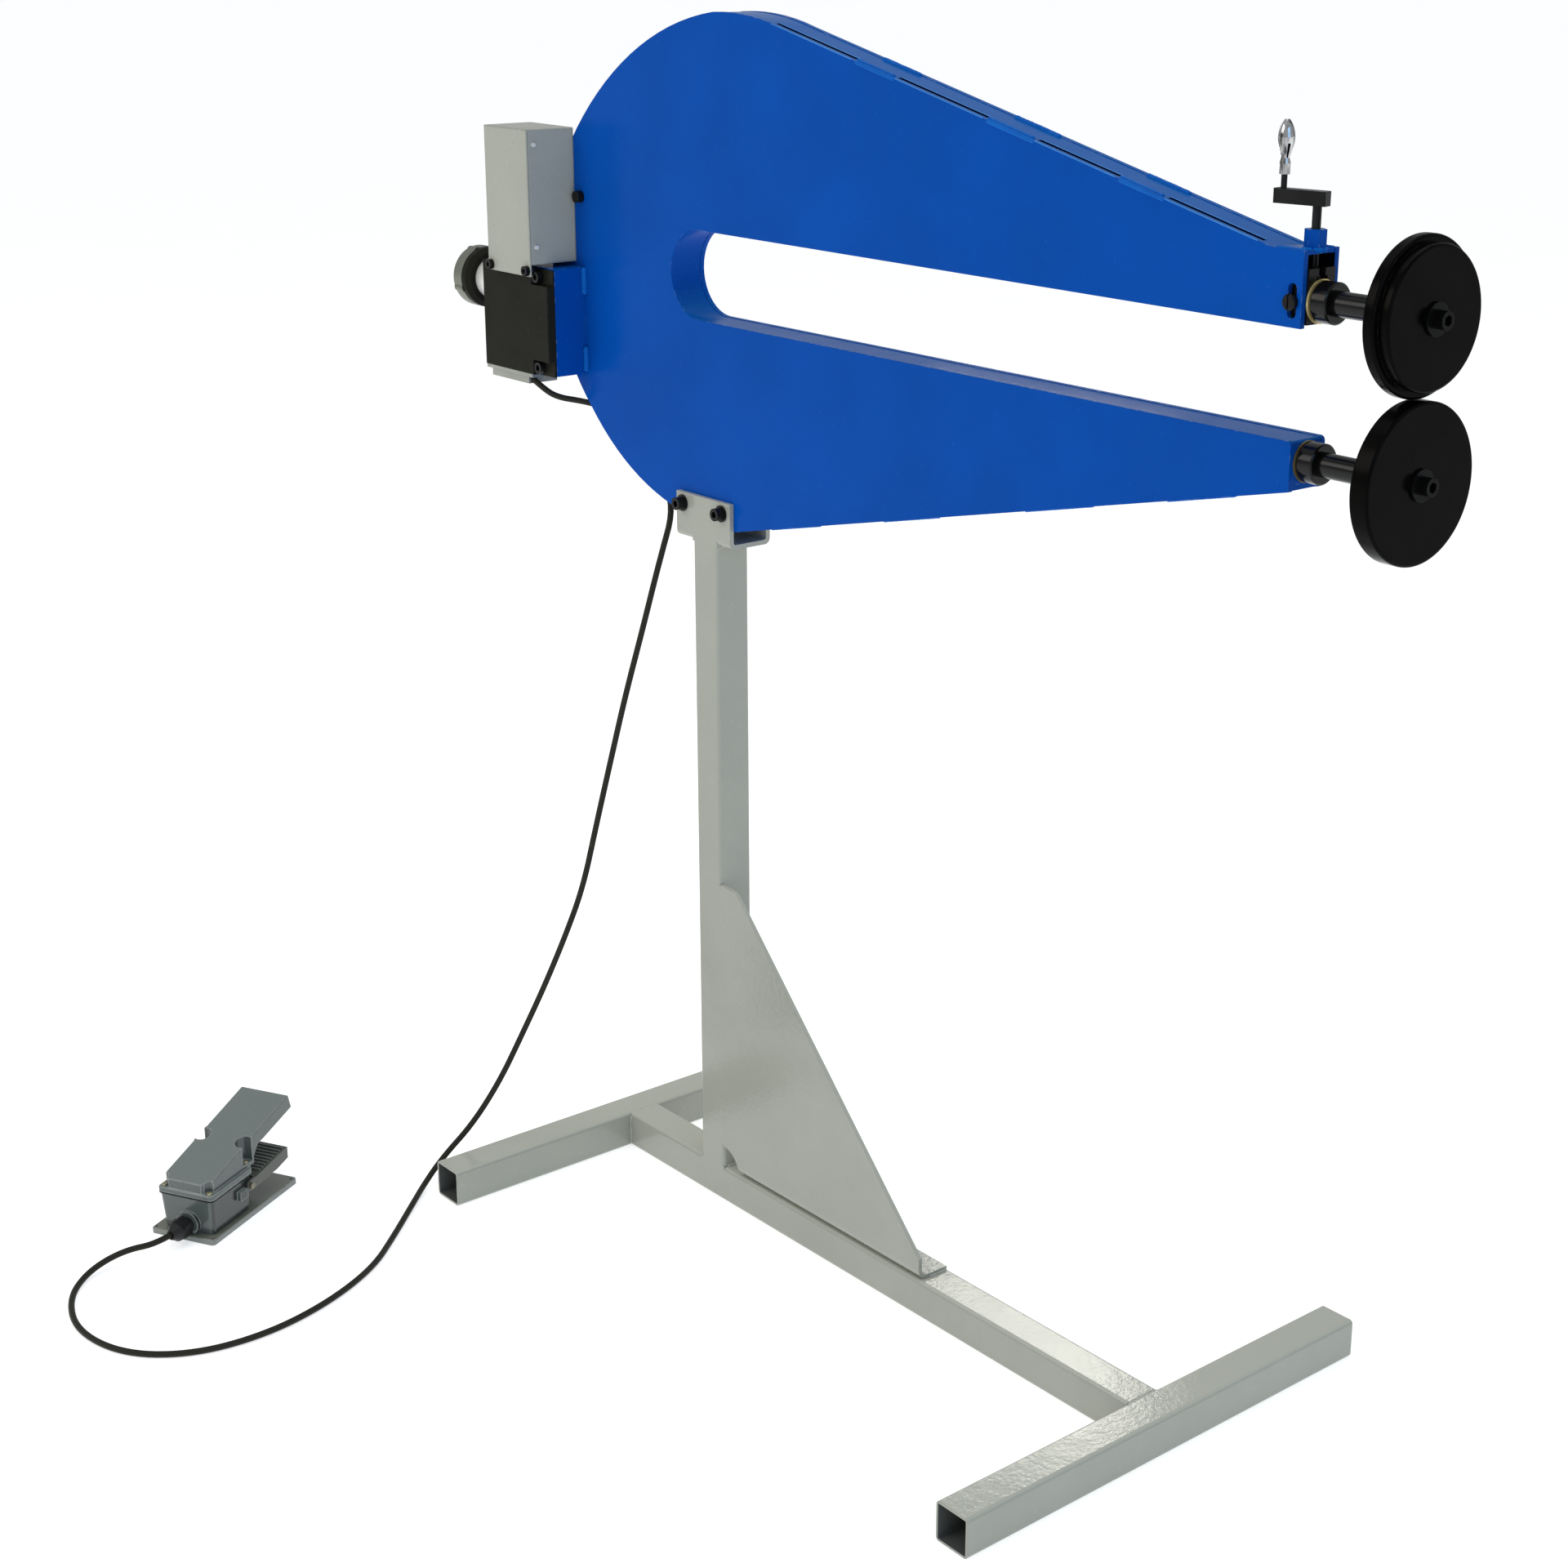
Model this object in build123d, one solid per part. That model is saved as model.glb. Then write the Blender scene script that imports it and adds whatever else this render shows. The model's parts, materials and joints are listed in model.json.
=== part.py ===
"""Rotary bead roller on a welded tube stand, with a foot pedal on a cable.

Millimetres. Origin on the floor under the column, +X towards the rolls,
+Z up, -Y is the side that carries the motor and the control box.
"""
import math
import os

from build123d import *

# Stand
TUBE = 50.0
TUBE_WALL = 3.0
TUBE_CORNER = 5.0
BASE_LENGTH = 1073.0
BASE_REAR = 242.0
BASE_SPAN = 634.0
REAR_SPAN = 620.0
COLUMN_TOP = 912.0
GUSSET_THICK = 5.0
GUSSET_TOP = 460.0
GUSSET_REACH = 397.0
GUSSET_TIP = 32.0
GUSSET_BEND = 15.0
GUSSET_NOTCH = 32.0

# Saddle that clamps the head on the column
SADDLE_LENGTH = 110.0
SADDLE_SHIFT = -3.0
SADDLE_HEIGHT = 58.0
SADDLE_THICK = 6.0
SADDLE_BOLT_R = 5.0
SADDLE_BOLT_PITCH = 80.0
SADDLE_BOLT_SHIFT = -5.0
SADDLE_BOLT_RISE = 44.0
BOLT_CLEARANCE = 0.3

# Head: two side plates with strips between them
PLATE = 6.0
FRAME_WIDTH = 51.0
HEAD_RISE = 325.5
THROAT_HALF = 54.5
THROAT_END = -70.0
NOSE_UP_X = 939.0
NOSE_LOW_X = 936.0
NOSE_TOP = 128.5
NOSE_FLAT = 42.0
NOSE_LIP = 5.0
STRIP = 4.0
STRIP_RECESS = 0.6

# Shafts and rolls
SHAFT_R = 12.5
RUN_CLEARANCE = 0.05
AXIS_DROP = 77.0
LOWER_ROLL_R = 79.0
LOWER_ROLL_W = 22.0
UPPER_ROLL_R = 76.5
UPPER_ROLL_W = 25.0
UPPER_STEP_R = 69.0
UPPER_STEP_W = 12.0
ROLL_GAP = 0.5
ROLL_REACH = 114.0
ROLL_SOFT = 3.0
COLLAR_R = 20.5
COLLAR_W = 19.0
COLLAR_GAP = 1.0
BUSH_R = 14.5
BUSH_FLANGE_R = 21.0
UPPER_FLANGE_R = 21.5
BUSH_FLANGE = 2.0
WASHER_R = 16.0
WASHER = 3.0
CAP_SCREW_R = 9.0
CAP_SCREW_H = 11.0

# Upper slide block and its crank
BLOCK_LENGTH = 38.0
BLOCK_RISE = 31.5
BLOCK_DROP = 21.5
BLOCK_SIDE_GAP = 0.5
BLOCK_PROUD = 2.0
SLOT_W = 11.0
SLOT_X_BACK = 12.0
SLOT_UP = 18.0
SLOT_DOWN = 16.0
SCREW_R = 4.5
SCREW_X_BACK = 9.0
BUTTON_R = 7.5
BUTTON_H = 4.5
BUTTON_RISE = 19.5
BUTTON_GAP = 0.4
NUT_FLATS = 19.0
NUT_H = 18.5
CRANK_RISE = 21.5
CRANK_H = 14.0
CRANK_T = 13.0
CRANK_R = 37.0
CRANK_ANGLE = 192.0
GRIP_STEM_R = 3.0
GRIP_STEM_H = 13.0
GRIP_H = 51.0
GRIP_R = 8.3

# Drive on the near side
DRIVE_X = -300.0
CONE_R = 16.0
CONE_FACE = 9.0
CONE_GAP = 0.35
OUTPUT_R = 8.0
BRACKET_FRONT = -259.0
BRACKET_LENGTH = 152.0
BRACKET_DEPTH = 46.0
BRACKET_H = 138.0
BRACKET_DROP = 77.0
BRACKET_WALL = 6.0
GEAR_FACE = 12.0
GEAR_H = 137.5
GEAR_NOTCH_X = 36.0
GEAR_NOTCH_Z = 20.0
GEAR_SCREW_R = 7.5
GEAR_REAR = 36.0
GEAR_MARGIN = 8.0
MOTOR_R = 40.0
MOTOR_LENGTH = 70.0
MOTOR_RISE = 29.0
MOTOR_IN = 23.0
ADAPTER_R = 27.0
ADAPTER_LENGTH = 30.0
CAN_LENGTH = 15.0
CAN_CHAMFER = 6.0
BELL_CHAMFER = 6.0
FOOT_LENGTH = 87.0
FOOT_DEPTH = 44.0
FOOT_H = 15.0
FOOT_SHELF = 4.5

# Control box
BOX_FRONT = -276.0
BOX_LENGTH = 98.0
BOX_DEPTH = 69.0
BOX_LIFT = 5.5
BOX_H = 169.0
BOX_WALL = 2.0
PANEL_DROP = 15.0
PANEL_BOLT_R = 6.5

# Foot pedal
PEDAL_X = -392.0
PEDAL_Y = -550.0
PEDAL_TURN = -62.2
PEDAL_LENGTH = 193.0
PEDAL_WIDTH = 98.0
PEDAL_BASE = 8.0
CASE_LENGTH = 90.0
CASE_WIDTH = 82.0
CASE_H = 50.0
CASE_WALL = 4.0
CASE_DRAFT = 3.0
CASE_SHIFT = 3.0
GASKET = 2.0
FLANGE = 7.0
HOOD_LOW = 20.0
HOOD_SLOPE = 0.259
HOOD_REACH = 104.0
HOOD_WALL = 4.0
HOOD_LIP = 20.5
HOOD_INSET = 4.0
HOOD_RAKE = 6.0
HOOD_CORNER = 12.0
HOOD_SOFT = 2.0
POCKET_R = 11.5
POCKET_IN = 5.0
POCKET_RISE = 5.0
POCKET_WALL = 3.0
CORNER_POCKET_R = 6.5
PIVOT_RISE = 37.0
EYE_R = 7.0
TREADLE_RISE = 10.0
TREADLE_T = 11.0
TREADLE_REACH = 86.0
SKIRT_DROP = 5.0
SKIRT_RUN = 26.0
BOSS_R = 17.0
BOSS_H = 4.0
GLAND_R = 15.5
GLAND_RISE = 13.5
GLAND_LENGTH = 34.5
CABLE_R = 4.0

# Derived places
FRAME_NEAR = -TUBE / 2 + SADDLE_THICK
FRAME_FAR = FRAME_NEAR + FRAME_WIDTH
GAP_NEAR = FRAME_NEAR + PLATE
GAP_FAR = FRAME_FAR - PLATE
MID_Y = (FRAME_NEAR + FRAME_FAR) / 2
SADDLE_TOP = COLUMN_TOP + SADDLE_THICK
HEAD_Z = SADDLE_TOP + HEAD_RISE
THROAT_X = THROAT_END + THROAT_HALF
LOW_Z = HEAD_Z - AXIS_DROP
UP_Z = LOW_Z + LOWER_ROLL_R + UPPER_ROLL_R + ROLL_GAP
NOSE_Z = HEAD_Z + NOSE_TOP
STRIP_Z = NOSE_Z - STRIP_RECESS
ROLL_X = max(NOSE_UP_X, NOSE_LOW_X) + ROLL_REACH
BLOCK_X1 = NOSE_UP_X + BLOCK_PROUD
BLOCK_X0 = BLOCK_X1 - BLOCK_LENGTH
SLOT_X = NOSE_UP_X - SLOT_X_BACK
SCREW_X = NOSE_UP_X - SCREW_X_BACK
BASE_FRONT = BASE_LENGTH - BASE_REAR
SPINE_X0 = TUBE - BASE_REAR
SPINE_X1 = BASE_FRONT - TUBE

os.makedirs("parts", exist_ok=True)


def save(name, shape):
    export_step(shape, "parts/" + name + ".step")
    print(name, round(shape.volume / 1000.0, 2), "cm3")


def block(x0, x1, y0, y1, z0, z1):
    size = Box(x1 - x0, y1 - y0, z1 - z0)
    return Pos((x0 + x1) / 2, (y0 + y1) / 2, (z0 + z1) / 2) * size


def rod_x(x0, x1, y, z, r):
    return Pos((x0 + x1) / 2, y, z) * Rot(0, 90, 0) * Cylinder(r, x1 - x0)


def rod_y(y0, y1, x, z, r):
    return Pos(x, (y0 + y1) / 2, z) * Rot(90, 0, 0) * Cylinder(r, y1 - y0)


def rod_z(z0, z1, x, y, r):
    return Pos(x, y, (z0 + z1) / 2) * Cylinder(r, z1 - z0)


def prism(face, y0, y1):
    return extrude(Plane.XZ.offset(-y1) * face, amount=y1 - y0)


def polygon(points):
    return make_face(Polyline(*points, close=True))


def square_tube(length):
    inner = TUBE - 2 * TUBE_WALL
    inner_r = max(TUBE_CORNER - TUBE_WALL, 0.5)
    face = RectangleRounded(TUBE, TUBE, TUBE_CORNER) - RectangleRounded(inner, inner, inner_r)
    return extrude(face, amount=length)


def group(shapes):
    return Compound(children=list(shapes))



# Stand: two cross tubes, a spine, a column and a folded gusset
def cross_tube(x, span):
    return Pos(x, -span / 2, TUBE / 2) * Rot(-90, 0, 0) * square_tube(span)


save("base_front_tube", cross_tube(BASE_FRONT - TUBE / 2, BASE_SPAN))
save("base_rear_tube", cross_tube(TUBE / 2 - BASE_REAR, REAR_SPAN))
spine = Pos(SPINE_X0, 0, TUBE / 2) * Rot(0, 90, 0) * square_tube(SPINE_X1 - SPINE_X0)
save("base_spine_tube", spine)
save("column", Pos(0, 0, TUBE) * square_tube(COLUMN_TOP - TUBE))

web_y = -TUBE / 2
web_x0 = TUBE / 2
web_x1 = web_x0 + GUSSET_REACH
foot_y = TUBE / 2 - 3
fold = GUSSET_BEND - GUSSET_THICK
tip = [
    (web_y, GUSSET_TOP),
    (web_y, TUBE + GUSSET_BEND),
    (web_y + GUSSET_BEND, TUBE),
    (foot_y, TUBE),
    (foot_y, TUBE + GUSSET_THICK),
    (web_y + GUSSET_BEND, TUBE + GUSSET_THICK),
    (web_y + GUSSET_THICK, TUBE + GUSSET_BEND),
    (web_y + GUSSET_THICK, GUSSET_TOP),
]
centre = (web_y + GUSSET_BEND, TUBE + GUSSET_BEND)
low = math.sqrt(0.5)
outer_mid = (centre[0] - GUSSET_BEND * low, centre[1] - GUSSET_BEND * low)
inner_mid = (centre[0] - fold * low, centre[1] - fold * low)
fold_edges = [
    Line(tip[0], tip[1]),
    ThreePointArc(tip[1], outer_mid, tip[2]),
    Line(tip[2], tip[3]),
    Line(tip[3], tip[4]),
    Line(tip[4], tip[5]),
    ThreePointArc(tip[5], inner_mid, tip[6]),
    Line(tip[6], tip[7]),
    Line(tip[7], tip[0]),
]
fold_face = make_face(fold_edges)
gusset = extrude(Plane.YZ.offset(web_x0) * fold_face, amount=GUSSET_REACH)
waste = polygon([
    (web_x0 + GUSSET_TIP, GUSSET_TOP - 3),
    (web_x1, TUBE + 2 * GUSSET_BEND),
    (web_x1 + 1, TUBE + 2 * GUSSET_BEND),
    (web_x1 + 1, GUSSET_TOP + 1),
    (web_x0 - 1, GUSSET_TOP + 1),
    (web_x0 - 1, GUSSET_TOP),
])
gusset -= prism(waste, web_y - 1, foot_y + 1)
gusset -= rod_y(web_y - 1, foot_y + 1, web_x0, TUBE, GUSSET_NOTCH)
save("gusset", gusset)

# Saddle: a folded U on the column top, its near ear flush with the column
saddle_y0 = FRAME_NEAR - SADDLE_THICK
saddle_y1 = FRAME_FAR + SADDLE_THICK
saddle_mid = (saddle_y0 + saddle_y1) / 2
u_outer = Pos(saddle_mid, COLUMN_TOP + SADDLE_HEIGHT / 2) * Rectangle(saddle_y1 - saddle_y0, SADDLE_HEIGHT)
u_outer = fillet(u_outer.vertices().sort_by(Axis.Y)[:2], 8)
u_inner = Pos(saddle_mid, SADDLE_TOP + SADDLE_HEIGHT / 2) * Rectangle(FRAME_WIDTH, SADDLE_HEIGHT)
u_inner = fillet(u_inner.vertices().sort_by(Axis.Y)[:2], 3)
saddle_x0 = SADDLE_SHIFT - SADDLE_LENGTH / 2
saddle = extrude(Plane.YZ.offset(saddle_x0) * (u_outer - u_inner), amount=SADDLE_LENGTH)
bolt_z = COLUMN_TOP + SADDLE_BOLT_RISE
bolt_xs = [SADDLE_BOLT_SHIFT - SADDLE_BOLT_PITCH / 2, SADDLE_BOLT_SHIFT + SADDLE_BOLT_PITCH / 2]
bolt_hole = SADDLE_BOLT_R + BOLT_CLEARANCE
for bolt_x in bolt_xs:
    saddle -= rod_y(saddle_y0 - 1, saddle_y1 + 1, bolt_x, bolt_z, bolt_hole)
save("saddle", saddle)

saddle_bolts = []
saddle_washers = []
for bolt_x in bolt_xs:
    head_y = saddle_y0 - 2.0
    bolt = rod_y(head_y, saddle_y1 + 14, bolt_x, bolt_z, SADDLE_BOLT_R)
    bolt += rod_y(head_y - 10, head_y, bolt_x, bolt_z, 8.0)
    socket = extrude(RegularPolygon(4.6, 6), amount=6)
    bolt -= Pos(bolt_x, head_y - 10, bolt_z) * Rot(-90, 0, 0) * socket
    nut = extrude(RegularPolygon(9.8, 6), amount=9)
    bolt += Pos(bolt_x, saddle_y1 + 2.0, bolt_z) * Rot(-90, 0, 0) * nut
    saddle_bolts.append(bolt)
    for wash_y in (saddle_y0 - 2.0, saddle_y1):
        washer = rod_y(wash_y, wash_y + 2.0, bolt_x, bolt_z, 10.5)
        washer -= rod_y(wash_y - 1, wash_y + 3, bolt_x, bolt_z, bolt_hole)
        saddle_washers.append(washer)
save("saddle_bolts", group(saddle_bolts))
save("saddle_washers", group(saddle_washers))

# Head outline, seen from the near side, as heights about the throat's middle
throat_top = THROAT_HALF
throat_low = -THROAT_HALF
nose_flat_x = NOSE_UP_X - NOSE_FLAT
nose_low_z = -AXIS_DROP - 27.5
crown = (150.0, 298.0)
crown_mid = (88.0, 309.5)
crown_end = (20.0, 311.0)
shoulder = (-136.0, 261.0)
heel_top = (-267.0, 158.5)
heel = (-331.0, -15.0)
heel_low = (-252.0, -194.5)
belly = (-148.0, -271.5)
keel = (-20.0, -305.0)
keel_mid = (14.0, -311.5)
keel_end = (45.0, -310.5)
outline = [
    Line((NOSE_UP_X, throat_top), (NOSE_UP_X, NOSE_TOP)),
    Line((NOSE_UP_X, NOSE_TOP), (nose_flat_x, NOSE_TOP)),
    Line((nose_flat_x, NOSE_TOP), crown),
    ThreePointArc(crown, crown_mid, crown_end),
    ThreePointArc(crown_end, shoulder, heel_top),
    ThreePointArc(heel_top, heel, heel_low),
    ThreePointArc(heel_low, belly, keel),
    ThreePointArc(keel, keel_mid, keel_end),
    Line(keel_end, (NOSE_LOW_X, nose_low_z)),
    Line((NOSE_LOW_X, nose_low_z), (NOSE_LOW_X, throat_low)),
    Line((NOSE_LOW_X, throat_low), (THROAT_X, throat_low)),
    ThreePointArc((THROAT_X, throat_low), (THROAT_END, 0), (THROAT_X, throat_top)),
    Line((THROAT_X, throat_top), (NOSE_UP_X, throat_top)),
]
outline_face = Pos(0, HEAD_Z) * make_face(outline)
arm_low_z = HEAD_Z - THROAT_HALF
arm_up_z = HEAD_Z + THROAT_HALF
lip = outline_face.vertices().sort_by_distance((NOSE_LOW_X, arm_low_z, 0))[0]
plate_face = fillet(lip, NOSE_LIP)

slot_z0 = UP_Z - SLOT_DOWN
slot_z1 = UP_Z + SLOT_UP
slot_face = Pos(SLOT_X, (slot_z0 + slot_z1) / 2) * Rot(0, 0, 90)
slot_face = slot_face * SlotOverall(slot_z1 - slot_z0, SLOT_W)
tie_x = -262.0
tie_z = HEAD_Z + 73.0
tie_r = 4.0


def side_plate(y0, y1):
    plate = prism(plate_face, y0, y1)
    plate -= prism(slot_face, y0 - 1, y1 + 1)
    for x in bolt_xs:
        plate -= rod_y(y0 - 1, y1 + 1, x, bolt_z, bolt_hole)
    plate -= rod_y(y0 - 1, y1 + 1, tie_x, tie_z, tie_r + BOLT_CLEARANCE)
    return plate


near_plate = side_plate(FRAME_NEAR, GAP_NEAR)
near_plate -= rod_y(FRAME_NEAR - 1, GAP_NEAR + 1, DRIVE_X, LOW_Z, OUTPUT_R + 3)
save("frame_near_plate", near_plate)
save("frame_far_plate", side_plate(GAP_FAR, FRAME_FAR))

# Strips between the plates, cut from one ring just inside the outline
ring = offset(outline_face, amount=-STRIP_RECESS, kind=Kind.INTERSECTION)
ring -= offset(outline_face, amount=-STRIP_RECESS - STRIP, kind=Kind.INTERSECTION)


def strip(x0, x1, z0, z1):
    window = Pos((x0 + x1) / 2, (z0 + z1) / 2) * Rectangle(x1 - x0, z1 - z0)
    return prism(ring & window, GAP_NEAR, GAP_FAR)


strip_low = STRIP_RECESS + STRIP + 0.05
top_strip = strip(crown_end[0], NOSE_UP_X, NOSE_Z - strip_low, NOSE_Z + 400)
top_strip -= rod_z(STRIP_Z - STRIP - 1, STRIP_Z + 1, SCREW_X, MID_Y, SCREW_R + 0.6)
save("frame_top_strip", top_strip)
keel_z = HEAD_Z + keel_end[1]
nose_block_z0 = HEAD_Z + nose_low_z + strip_low + 1.6
save("frame_bottom_strip", strip(keel_end[0], NOSE_LOW_X, keel_z - 20, nose_block_z0))
bend_half = THROAT_HALF + strip_low
throat_strip = strip(THROAT_END - 20, THROAT_X, HEAD_Z - bend_half, HEAD_Z + bend_half)
throat_strip += strip(THROAT_X, NOSE_LOW_X, arm_low_z - strip_low, arm_low_z)
throat_strip += strip(THROAT_X, BLOCK_X0 - 6, arm_up_z, arm_up_z + strip_low)
lip_edges = throat_strip.edges().filter_by(Axis.Y).sort_by_distance((NOSE_LOW_X, MID_Y, arm_low_z))
throat_strip = fillet(lip_edges[0], STRIP * 0.9)
save("throat_strip", throat_strip)

nose_block_x0 = NOSE_LOW_X - 36
nose_block_z1 = arm_low_z - strip_low
nose_block = block(nose_block_x0, NOSE_LOW_X, GAP_NEAR, GAP_FAR, nose_block_z0, nose_block_z1)
nose_block -= rod_x(nose_block_x0 - 1, NOSE_LOW_X + 1, MID_Y, LOW_Z, BUSH_R)
save("lower_nose_block", nose_block)
rear_x1 = THROAT_X - 90
rear_x0 = rear_x1 - 36
rear_block = block(rear_x0, rear_x1, GAP_NEAR, GAP_FAR, LOW_Z - 21, LOW_Z + 21)
rear_block -= rod_x(rear_x0 - 1, rear_x1 + 1, MID_Y, LOW_Z, BUSH_R)
save("rear_bearing_block", rear_block)

tie = rod_y(FRAME_NEAR, FRAME_FAR + 8, tie_x, tie_z, tie_r)
tie += rod_y(FRAME_NEAR - 9, FRAME_NEAR, tie_x, tie_z, 7.5)
tie_nut = extrude(RegularPolygon(7.5, 6), amount=7)
tie += Pos(tie_x, FRAME_FAR, tie_z) * Rot(-90, 0, 0) * tie_nut
save("tie_bolt", tie)


# Flanged bronze bushes
def flanged_bush(x0, x1, z, flange_r):
    bush = rod_x(x0, x1, MID_Y, z, BUSH_R)
    if flange_r > BUSH_R:
        bush += rod_x(x1, x1 + BUSH_FLANGE, MID_Y, z, flange_r)
    return bush - rod_x(x0 - 1, x1 + BUSH_FLANGE + 1, MID_Y, z, SHAFT_R + RUN_CLEARANCE)


low_face = NOSE_LOW_X
save("lower_bush", flanged_bush(nose_block_x0, low_face, LOW_Z, BUSH_FLANGE_R))
save("rear_bush", flanged_bush(rear_x0, rear_x1, LOW_Z, 0.0))


# Rolls with their collars, washers and cap screws
def bored_roll(shape, z):
    return shape - rod_x(ROLL_X - 1, ROLL_X + 60, MID_Y, z, SHAFT_R)


def roll_washer(x, z):
    ring_part = rod_x(x, x + WASHER, MID_Y, z, WASHER_R)
    return ring_part - rod_x(x - 1, x + WASHER + 1, MID_Y, z, 6.0)


def roll_screw(x, z):
    screw = rod_x(x - 30, x + WASHER, MID_Y, z, 6.0)
    screw += rod_x(x + WASHER, x + WASHER + CAP_SCREW_H, MID_Y, z, CAP_SCREW_R)
    socket = extrude(RegularPolygon(5.8, 6), amount=7)
    place = Pos(x + WASHER + CAP_SCREW_H, MID_Y, z) * Rot(0, -90, 0)
    return screw - place * socket


def shaft(x0, x1, z):
    body = rod_x(x0, x1, MID_Y, z, SHAFT_R)
    return body - rod_x(x1 - 30, x1 + 1, MID_Y, z, 6.0)


def collar(x0, z):
    ring_part = rod_x(x0, x0 + COLLAR_W, MID_Y, z, COLLAR_R)
    ring_part = chamfer(ring_part.edges().filter_by(GeomType.CIRCLE), 1.5)
    ring_part -= rod_x(x0 - 1, x0 + COLLAR_W + 1, MID_Y, z, SHAFT_R)
    return ring_part


cone_back = DRIVE_X + CONE_R + CONE_GAP
low_end = ROLL_X + LOWER_ROLL_W
spigot = rod_x(cone_back + 1, cone_back + 12, MID_Y, LOW_Z, OUTPUT_R)
save("lower_shaft", shaft(cone_back + 12, low_end, LOW_Z) + spigot)
save("lower_collar", collar(low_face + BUSH_FLANGE + COLLAR_GAP, LOW_Z))
low_roll = rod_x(ROLL_X, low_end, MID_Y, LOW_Z, LOWER_ROLL_R)
low_roll = fillet(low_roll.edges().filter_by(GeomType.CIRCLE), ROLL_SOFT)
save("lower_roll", bored_roll(low_roll, LOW_Z))
save("lower_roll_washer", roll_washer(low_end, LOW_Z))
save("lower_roll_screw", roll_screw(low_end, LOW_Z))

up_end = ROLL_X + UPPER_ROLL_W
save("upper_shaft", shaft(BLOCK_X0 - 8, up_end, UP_Z))
up_collar_x = BLOCK_X1 + BUSH_FLANGE + COLLAR_GAP
save("upper_collar", collar(up_collar_x, UP_Z))
up_roll = rod_x(ROLL_X, up_end - UPPER_STEP_W, MID_Y, UP_Z, UPPER_ROLL_R)
up_roll = fillet(up_roll.edges().filter_by(GeomType.CIRCLE), ROLL_SOFT)
up_step = rod_x(up_end - UPPER_STEP_W, up_end, MID_Y, UP_Z, UPPER_STEP_R)
up_step = fillet(up_step.edges().filter_by(GeomType.CIRCLE).sort_by(Axis.X)[-1], ROLL_SOFT)
save("upper_roll", bored_roll(up_roll + up_step, UP_Z))
save("upper_roll_washer", roll_washer(up_end, UP_Z))
save("upper_roll_screw", roll_screw(up_end, UP_Z))
keeper = rod_x(BLOCK_X0 - 7.5, BLOCK_X0 - COLLAR_GAP, MID_Y, UP_Z, SHAFT_R + 3)
keeper -= rod_x(BLOCK_X0 - 9, BLOCK_X0, MID_Y, UP_Z, SHAFT_R)
save("upper_keeper_ring", keeper)

# Slide block with a T-slot for the adjusting screw
block_y0 = GAP_NEAR + BLOCK_SIDE_GAP
block_y1 = GAP_FAR - BLOCK_SIDE_GAP
block_z1 = UP_Z + BLOCK_RISE
slide = block(BLOCK_X0, BLOCK_X1, block_y0, block_y1, UP_Z - BLOCK_DROP, block_z1)
slide -= rod_x(BLOCK_X0 - 1, BLOCK_X1 + 1, MID_Y, UP_Z, BUSH_R)
button_z = UP_Z + BUTTON_RISE
t_x0 = SCREW_X - BUTTON_R - BUTTON_GAP
t_half = BUTTON_R + BUTTON_GAP
neck_half = SCREW_R + BUTTON_GAP
t_z0 = button_z - BUTTON_GAP
t_z1 = button_z + BUTTON_H + BUTTON_GAP
slide -= block(t_x0, BLOCK_X1 + 1, MID_Y - t_half, MID_Y + t_half, t_z0, t_z1)
neck_x0 = SCREW_X - neck_half
slide -= block(neck_x0, BLOCK_X1 + 1, MID_Y - neck_half, MID_Y + neck_half, t_z1 - 1, block_z1 + 1)
screw_bite = 3.0
for guide_y in (block_y0, block_y1):
    slide -= rod_y(guide_y - screw_bite, guide_y + screw_bite, SLOT_X, UP_Z, 4.0)
save("slide_block", slide)
save("upper_bush", flanged_bush(BLOCK_X0, BLOCK_X1, UP_Z, UPPER_FLANGE_R))


def guide_screw(sign, inner_y, outer_y):
    y0 = min(inner_y, outer_y)
    y1 = max(inner_y, outer_y)
    stem = rod_y(y0, y1, SLOT_X, UP_Z, 4.0)
    head_y = outer_y + sign * 6.0
    head = rod_y(min(outer_y, head_y), max(outer_y, head_y), SLOT_X, UP_Z, 8.0)
    rim = head.edges().filter_by(GeomType.CIRCLE).sort_by(Axis.Y)
    edge = rim[0] if sign < 0 else rim[-1]
    head = chamfer(edge, 1.5)
    cut_y0 = min(head_y - sign * 2.0, head_y + sign)
    cut_y1 = max(head_y - sign * 2.0, head_y + sign)
    cut = block(SLOT_X - 1, SLOT_X + 1, cut_y0, cut_y1, UP_Z - 9, UP_Z + 9)
    return stem + head - cut


near_screw = guide_screw(-1, block_y0 + screw_bite, FRAME_NEAR - 0.4)
far_screw = guide_screw(1, block_y1 - screw_bite, FRAME_FAR + 0.4)
save("guide_screws", group([near_screw, far_screw]))

# Adjusting screw, its nut, the crank arm and the revolving grip
nut = extrude(RegularPolygon(NUT_FLATS / 2, 6, major_radius=False), amount=NUT_H)
nut -= Pos(0, 0, NUT_H / 2) * Cylinder(SCREW_R + RUN_CLEARANCE, NUT_H + 2)
save("crank_nut", Pos(SCREW_X, MID_Y, STRIP_Z) * Rot(0, 0, 30) * nut)
arm_z0 = STRIP_Z + NUT_H + CRANK_RISE
arm_z1 = arm_z0 + CRANK_H
crank_screw = rod_z(button_z, arm_z0 + CRANK_H - 1, SCREW_X, MID_Y, SCREW_R)
crank_screw += rod_z(button_z, button_z + BUTTON_H, SCREW_X, MID_Y, BUTTON_R)
save("crank_screw", crank_screw)
crank_turn = Pos(SCREW_X, MID_Y, 0) * Rot(0, 0, CRANK_ANGLE)
arm = block(-11, CRANK_R + 8, -CRANK_T / 2, CRANK_T / 2, arm_z0, arm_z1)
arm = fillet(arm.edges().filter_by(Axis.Z), 1.5)
arm -= rod_z(arm_z0 - 1, arm_z1 - 1, 0, 0, SCREW_R)
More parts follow.
